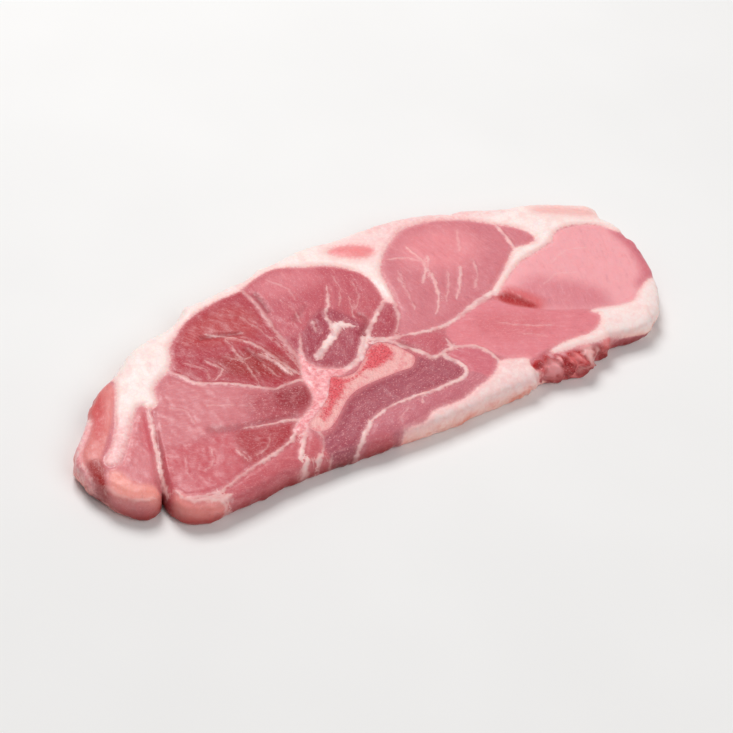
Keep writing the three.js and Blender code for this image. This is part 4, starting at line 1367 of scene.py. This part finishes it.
    def make(self) -> bpy.types.Material:
        """Lay bloodstains, painted shade, veins and fat over the lean, with fine relief and a wet gloss.

        Returns:
            The material.
        """
        graph = Graph(self.name)
        place = graph.object_place()
        grain = graph.read(Layer.GRAIN.value, "Vector")
        side = graph.read(Layer.SIDE.value)
        ragged = graph.noise(place, 0.85, 4.0, 0.62)
        fat_depth = graph.sum("ADD", graph.read(Layer.FAT.value), graph.about(ragged, 1.9))
        fat_share = graph.span(fat_depth, -0.8, 0.7)
        thick, strength = self.veins(graph, place)
        vein_share = graph.sum("MULTIPLY", graph.span(thick, -0.5, 0.55), strength)
        halo = graph.sum("MULTIPLY", graph.span(thick, -3.0, 0.0, 0.0, 0.14), strength)
        # Bloodstained lines, and painted shade in the splits and crevices
        dark = graph.sum("ADD", graph.read(Layer.DARK.value), graph.about(ragged, 3.0))
        dark = graph.sum("MULTIPLY", graph.span(dark, -1.6, 1.2), graph.read(Layer.DARK_STRENGTH.value))
        tone = graph.mix(dark, self.lean(graph, place, grain, side), self.blood_and_shade)
        tone = graph.mix(halo, tone, self.fleck)
        vein_tone = graph.mix(graph.span(thick, 0.3, 1.5, 0.0, 0.8), self.blush, self.cream)
        tone = graph.mix(vein_share, tone, vein_tone)
        tone = graph.mix(graph.span(fat_depth, -2.4, 0.0, 0.0, 0.35), tone, self.fleck)
        tone = graph.mix(fat_share, tone, self.fat(graph, place, fat_depth, side))
        fine = graph.noise(graph.stretch(grain, (0.5, 1.3, 1.3)), 1.1, 3.0, 0.6)
        soft = graph.noise(place, 0.8, 3.0)
        height = graph.sum("ADD", graph.mix(fat_share, fine, soft), graph.sum("MULTIPLY", ragged, 0.8))
        graph.bump(height, 0.00012, 0.6)
        wet = graph.noise(place, 0.25, 3.0)
        graph.surface(
            Base_Color=tone, Roughness=graph.span(wet, 0.3, 0.7, 0.34, 0.56), Subsurface_Weight=0.25,
            Subsurface_Radius=(1.0, 0.34, 0.24), Subsurface_Scale=0.0018, Specular_IOR_Level=0.4,
            Coat_Weight=0.18, Coat_Roughness=0.18, Coat_IOR=1.36,
        )
        return graph.material


@dataclass(frozen=True)
class BoneFinish:
    """Sawn bone: a pale rim round red, porous marrow.

    Attributes:
        name: the material's name.
        rim: the colour of the hard rim.
        flush: the colour of the rim's stains and of the marrow's pale spots.
        marrow: the colour of the marrow.
        pore: the colour of its pores.
    """

    name: str = "sawn_bone"
    rim: Colour = tint(243, 178, 174)
    flush: Colour = tint(232, 136, 140)
    marrow: Colour = tint(228, 82, 92)
    pore: Colour = tint(188, 48, 60)

    def make(self) -> bpy.types.Material:
        """Lay the ragged marrow over the stained rim, with pores and a wet gloss.

        Returns:
            The material.
        """
        graph = Graph(self.name)
        place = graph.object_place()
        ragged = graph.about(graph.noise(place, 0.6, 4.0, 0.68), 6.0)
        depth = graph.sum("ADD", graph.read(Layer.MARROW.value), ragged)
        share = graph.span(depth, -1.8, 1.2)
        pores = graph.cells(graph.warp(place, 1.0, 0.8), 1.3, Cells.MIDDLE)
        mottle = graph.noise(place, 0.9, 4.0, 0.65)
        red = graph.mix(graph.span(pores, 0.15, 0.55), self.pore, self.marrow)
        red = graph.mix(graph.span(mottle, 0.50, 0.70, 0.0, 0.6), red, self.flush)
        stains = graph.noise(place, 0.35, 4.0, 0.6)
        pale = graph.mix(graph.span(stains, 0.46, 0.66, 0.0, 0.75), self.rim, self.flush)
        pale = graph.mix(graph.span(pores, 0.28, 0.10, 0.0, 0.35), pale, self.marrow)
        pale = graph.mix(graph.span(graph.read(Layer.RIM.value), 1.5, 0.1, 0.0, 0.7), pale, self.flush)
        graph.bump(graph.sum("ADD", pores, graph.noise(place, 2.2, 3.0)), 0.00025, 0.55)
        graph.surface(
            Base_Color=graph.mix(share, pale, red), Roughness=0.42, Subsurface_Weight=0.2,
            Subsurface_Radius=(1.0, 0.45, 0.35), Subsurface_Scale=0.0016, Specular_IOR_Level=0.45,
            Coat_Weight=0.15, Coat_Roughness=0.2, Coat_IOR=1.36,
        )
        return graph.material


@dataclass
class BladeBone:
    """The blade bone, cut through by the saw.

    Attributes:
        shell: the bone's grid.
        uneven: the layers of unevenness of its sawn face.
        even_rim: how far in from its edge the unevenness begins, and how far in it is full.
        faint: how much less the faint marrow counts than the rest.
    """

    shell: RingShell = field(default_factory=lambda: RingShell(
        BLADE_BONE, columns=260, upper=18, side=12, lower=8, rim_round=0.1, squareness=0.5, spine_reach=0.9))
    uneven: Layers = ((0.08, 2.0, 11), (0.05, 1.0, 12))
    even_rim: tuple[float, float] = (0.2, 1.4)
    faint: float = 1.4

    def build(self) -> bpy.types.Object:
        """Build the sawn bone, with a slightly uneven face, and keep its marrow's depth.

        Returns:
            The bone.
        """
        places, heights, _ = self.shell.rings(*self.shell.edge_and_spine())
        flat = places.reshape(-1, 2)
        share = np.repeat((heights + 1) / 2, self.shell.columns)
        inner = soft_step(region_depth(flat, BLADE_BONE), *self.even_rim)
        top = BONE_LEVEL + layered_noise(flat, self.uneven) * inner
        body = np.column_stack([flat, share * top])
        bone = make_object("blade_bone_sawn", body * MM, self.shell.faces())
        spots = mesh_places(bone.data)[:, :2]
        marrow = np.maximum(region_depth(spots, MARROW_LONG), region_depth(spots, MARROW_HEAD))
        marrow = np.maximum(marrow, region_depth(spots, MARROW_FAINT) - self.faint)
        store(bone.data, Layer.MARROW.value, marrow)
        store(bone.data, Layer.RIM.value, region_depth(spots, BLADE_BONE))
        bone.data.materials.append(BoneFinish().make())
        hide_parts("blade_bone")
        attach(bone, "root")
        return bone


@dataclass
class SteakBody:
    """All the meat and fat of the slice in one closed body, with a hole for the bone.

    Attributes:
        shell: the body's grid.
        wobble: how far the edge wanders in.
        torn_wobble: how much further it does where it is torn.
        wander: the layers of noise by which it wanders.
        belly_shift: how far the belly of the side moves up and down.
        side_relief: how far the side is pushed in and out.
        torn_relief: how much further it is where it is torn.
        side_bulge: the push of a side without noise, as a share of the relief.
        column_span: the width that one column counts for in the side's noise.
        bone_lap: how far the meat laps over the bone's edge.
        sharp_angle: the angle in radians from which an edge of the hole is sharp.
        side_reach: how far in from the edge the look of the side, with its painted shade, begins and ends.
        side_fade: the heights between which the look of the side, with its painted shade, fades.
    """

    shell: RingShell = field(default_factory=lambda: RingShell(
        EDGE, columns=840, upper=62, side=14, lower=30, rim_round=3.2))
    wobble: float = 0.35
    torn_wobble: float = 0.3
    wander: Layers = ((1.0, 4.2, 21), (0.7, 2.1, 22))
    belly_shift: float = 0.45
    side_relief: float = 0.42
    torn_relief: float = 0.75
    side_bulge: float = 0.4
    column_span: float = 0.85
    bone_lap: float = 0.16
    sharp_angle: float = 0.9
    side_reach: tuple[float, float] = (0.2, 3.0)
    side_fade: tuple[float, float] = (1.0, 9.5)

    def shape(self, anatomy: Anatomy, relief: Relief) -> bpy.types.Object:
        """Give the grid its height, an uneven side and the lumps of the torn edge.

        A ring's height is its share of the upper face's height. On the side, the share is raised to a
        power that drifts along the edge, so that the belly sits now high, now low, and noise over the
        way round and the height pushes the side in and out. Each lump then pushes what lies near it
        away from its middle, by its rise times a bell curve of the distance.

        Args:
            anatomy: where the fat and the veins lie.
            relief: the height of the upper face.

        Returns:
            The body, with its places in metres.
        """
        edge, spine = self.shell.edge_and_spine()
        inward = (spine - edge) / np.linalg.norm(spine - edge, axis=1, keepdims=True)
        torn = soft_step(region_depth(edge, CRAG), -6.0, 0.0)
        inset = (self.wobble + self.torn_wobble * torn) * (1.0 + layered_noise(edge, self.wander))
        edge = edge + inward * inset[:, None]
        places, heights, sides = self.shell.rings(edge, spine)
        flat = places.reshape(-1, 2)
        drift = np.exp(self.belly_shift * lattice_noise(edge, 13.0, 23))
        share = (((heights + 1) / 2)[:, None] ** drift[None, :]).ravel()
        side = np.repeat(sides, self.shell.columns)
        height = np.maximum(share * relief.height(flat, anatomy), 0.0)
        around = np.tile(np.arange(self.shell.columns) * self.column_span, len(heights))
        wall = np.column_stack([around, height])
        push = self.side_bulge + lattice_noise(wall * (0.6, 1.0), 2.6, 31)
        push += 0.6 * lattice_noise(wall, 1.5, 32)
        push *= side * (self.side_relief + self.torn_relief * np.tile(torn, len(heights)))
        body = np.column_stack([flat, height])
        body[:, :2] += np.tile(inward, (len(heights), 1)) * push[:, None]
        for x, y, z, radius, rise in LUMPS:
            away = body - (x, y, z)
            distance = np.linalg.norm(away, axis=1, keepdims=True)
            body += away / distance * rise * np.exp(-(distance / radius) ** 2)
        body[:, 2] = np.maximum(body[:, 2], 0.0)
        return make_object("steak_meat", body * MM, self.shell.faces())

    def cut_bone_hole(self, steak: bpy.types.Object) -> None:
        """Cut a straight hole for the bone, a hair narrower than it is.

        Args:
            steak: the body.
        """
        ring = smooth_path(BLADE_BONE, 0.6, closed=True)
        turning = np.sum(ring[:, 0] * np.roll(ring[:, 1], -1) - np.roll(ring[:, 0], -1) * ring[:, 1])
        ring = ring if turning > 0 else ring[::-1]
        along = np.roll(ring, -1, axis=0) - np.roll(ring, 1, axis=0)
        along /= np.linalg.norm(along, axis=1, keepdims=True)
        ring = ring + np.stack([-along[:, 1], along[:, 0]], axis=1) * self.bone_lap
        count = len(ring)
        below, above = 4.0, 6.0
        low = np.column_stack([ring, np.full(count, -below)])
        high = np.column_stack([ring, np.full(count, THICKNESS + above)])
        index = np.arange(count)
        after = np.roll(index, -1)
        walls = np.stack([index, after, after + count, index + count], axis=1).tolist()
        faces = [*walls, index[::-1].tolist(), (index + count).tolist()]
        mesh = bpy.data.meshes.new("bone_cutter")
        mesh.from_pydata((np.vstack([low, high]) * MM).tolist(), [], faces)
        cutter = bpy.data.objects.new("bone_cutter", mesh)
        bpy.context.scene.collection.objects.link(cutter)
        cut = steak.modifiers.new("bone_hole", "BOOLEAN")
        cut.operation = "DIFFERENCE"
        cut.solver = "EXACT"
        cut.object = cutter
        shaped = bpy.data.meshes.new_from_object(steak.evaluated_get(bpy.context.evaluated_depsgraph_get()))
        steak.modifiers.clear()
        old = steak.data
        steak.data = shaped
        bpy.data.meshes.remove(old)
        bpy.data.objects.remove(cutter)
        shaped.shade_smooth()
        shaped.set_sharp_from_angle(angle=self.sharp_angle)

    def undercut(self, places: np.ndarray, near_edge: np.ndarray) -> np.ndarray:
        """Give how far fat gives way to lean low on the front of the broad end, more the lower it lies.

        Args:
            places: places on the surface.
            near_edge: how near the edge each of them is, from 0 to 1.

        Returns:
            What is taken off the depth in fat at each place.
        """
        lean_top = 6.0
        slope = 2.4
        front = 1.0 - soft_step(places[:, 1], -36.0, -24.0)
        broad_end = soft_step(places[:, 0], 78.0, 90.0)
        return near_edge * front * broad_end * slope * np.maximum(lean_top - places[:, 2], 0.0)

    def dress(self, steak: bpy.types.Object, anatomy: Anatomy) -> None:
        """Keep all that the material reads, and add the material.

        Args:
            steak: the body.
            anatomy: where the muscles, the fat and the veins lie.
        """
        places = mesh_places(steak.data)
        spots = anatomy.drifted(places)
        near_edge = 1.0 - soft_step(region_depth(places[:, :2], EDGE), *self.side_reach)
        # The side's mask: painted shade low on the side, the fat's raw spots there and fainter veins
        side = near_edge * (1.0 - soft_step(places[:, 2], *self.side_fade))
        veins = read_bands(spots, VEINS)
        splits = read_bands(spots, DARK_LINES)
        readings = {
            Layer.FAT: anatomy.fat(spots) - self.undercut(places, near_edge),
            Layer.PINK_FAT: anatomy.pink_fat(spots),
            Layer.LEAN: anatomy.lean(spots),
            Layer.VEIN: veins.depth,
            Layer.VEIN_ACROSS: veins.across,
            Layer.VEIN_HALF: veins.half,
            Layer.VEIN_STRENGTH: veins.strength * (1.0 - 0.75 * side),
            Layer.DARK: splits.depth,
            Layer.DARK_STRENGTH: splits.strength,
            Layer.GRAIN: anatomy.grain(places, spots),
            Layer.SIDE: side,
        }
        for layer, values in readings.items():
            store(steak.data, layer.value, values)
        steak.data.materials.clear()
        steak.data.materials.append(MeatFinish().make())

    def build(self) -> bpy.types.Object:
        """Build the body and put it in place of the model's lean and fat.

        Returns:
            The body.
        """
        anatomy = Anatomy()
        steak = self.shape(anatomy, Relief())
        self.cut_bone_hole(steak)
        self.dress(steak, anatomy)
        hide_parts("lean_meat", "fat_cap", "fat_strip_front", "fat_patch_broad_end")
        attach(steak, "root")
        return steak


@dataclass
class Studio:
    """A pale floor, soft light and the camera.

    Attributes:
        camera_place: where the camera stands, in millimetres.
        camera_ahead: the way it looks.
        camera_up: the way its upper edge points.
        lens: its focal length on a sensor 36 mm wide.
        floor_half: half the floor's width, in metres.
        sky_strength: how bright the even light of the room is.
    """

    camera_place: tuple[float, float, float] = (-387.2, -357.6, 508.6)
    camera_ahead: tuple[float, float, float] = (0.5242, 0.4863, -0.6991)
    camera_up: tuple[float, float, float] = (0.3752, 0.6052, 0.7022)
    lens: float = 94.0
    floor_half: float = 12.0
    sky_strength: float = 0.27

    def floor(self) -> None:
        """Lay a wide pale floor under the slice."""
        half = self.floor_half
        mesh = bpy.data.meshes.new("floor")
        corners = [(-half, -half, 0.0), (half, -half, 0.0), (half, half, 0.0), (-half, half, 0.0)]
        mesh.from_pydata(corners, [], [(0, 1, 2, 3)])
        ground = bpy.data.objects.new("floor", mesh)
        bpy.context.scene.collection.objects.link(ground)
        graph = Graph("pale_floor")
        cloud = graph.noise(graph.object_place(), 0.01, 2.0)
        tone = graph.mix(graph.span(cloud, 0.3, 0.7), (0.86, 0.85, 0.84, 1.0), (0.88, 0.87, 0.86, 1.0))
        graph.surface(Base_Color=tone, Roughness=0.75, Specular_IOR_Level=0.25)
        mesh.materials.append(graph.material)

    def light(self, name: str, place: tuple[float, float, float], size: float, power: float) -> None:
        """Hang a square soft light that looks at the slice.

        Args:
            name: the light's name.
            place: where it hangs, in metres.
            size: the length of its sides, in metres.
            power: its power, in watts.
        """
        lamp = bpy.data.lights.new(name, "AREA")
        lamp.size = size
        lamp.energy = power
        thing = bpy.data.objects.new(name, lamp)
        thing.location = place
        thing.rotation_euler = (-Vector(place)).to_track_quat("-Z", "Y").to_euler()
        bpy.context.scene.collection.objects.link(thing)

    def sky(self) -> None:
        """Fill the room with even white light."""
        world = bpy.data.worlds.new("soft_room")
        world.use_nodes = True
        back = world.node_tree.nodes["Background"]
        back.inputs["Color"].default_value = (1.0, 1.0, 1.0, 1.0)
        back.inputs["Strength"].default_value = self.sky_strength
        bpy.context.scene.world = world

    def camera(self) -> None:
        """Stand the camera where it sees the flat slice as the photograph does."""
        ahead = Vector(self.camera_ahead).normalized()
        right = ahead.cross(Vector(self.camera_up)).normalized()
        above = right.cross(ahead)
        turn = Matrix((right, above, -ahead)).transposed().to_4x4()
        lens = bpy.data.cameras.new("camera")
        lens.lens = self.lens
        lens.sensor_width = 36.0
        lens.clip_start = 0.01
        eye = bpy.data.objects.new("camera", lens)
        eye.matrix_world = Matrix.Translation(Vector(self.camera_place) * MM) @ turn
        bpy.context.scene.collection.objects.link(eye)
        bpy.context.scene.camera = eye

    def build(self) -> None:
        """Set up the whole studio."""
        self.floor()
        self.light("key_light", (0.12, 0.7, 1.12), 0.6, 12.3)
        self.light("fill_light", (0.1, -0.85, 0.9), 0.9, 4.8)
        self.sky()
        self.camera()
        bpy.context.scene.view_settings.view_transform = "Standard"


def main() -> None:
    """Build the studio and the steak."""
    logging.basicConfig(level=logging.INFO, format="%(message)s")
    Studio().build()
    for piece in (SteakBody().build(), BladeBone().build()):
        LOG.info("%s: %d faces", piece.name, len(piece.data.polygons))


if __name__ == "__main__":
    main()
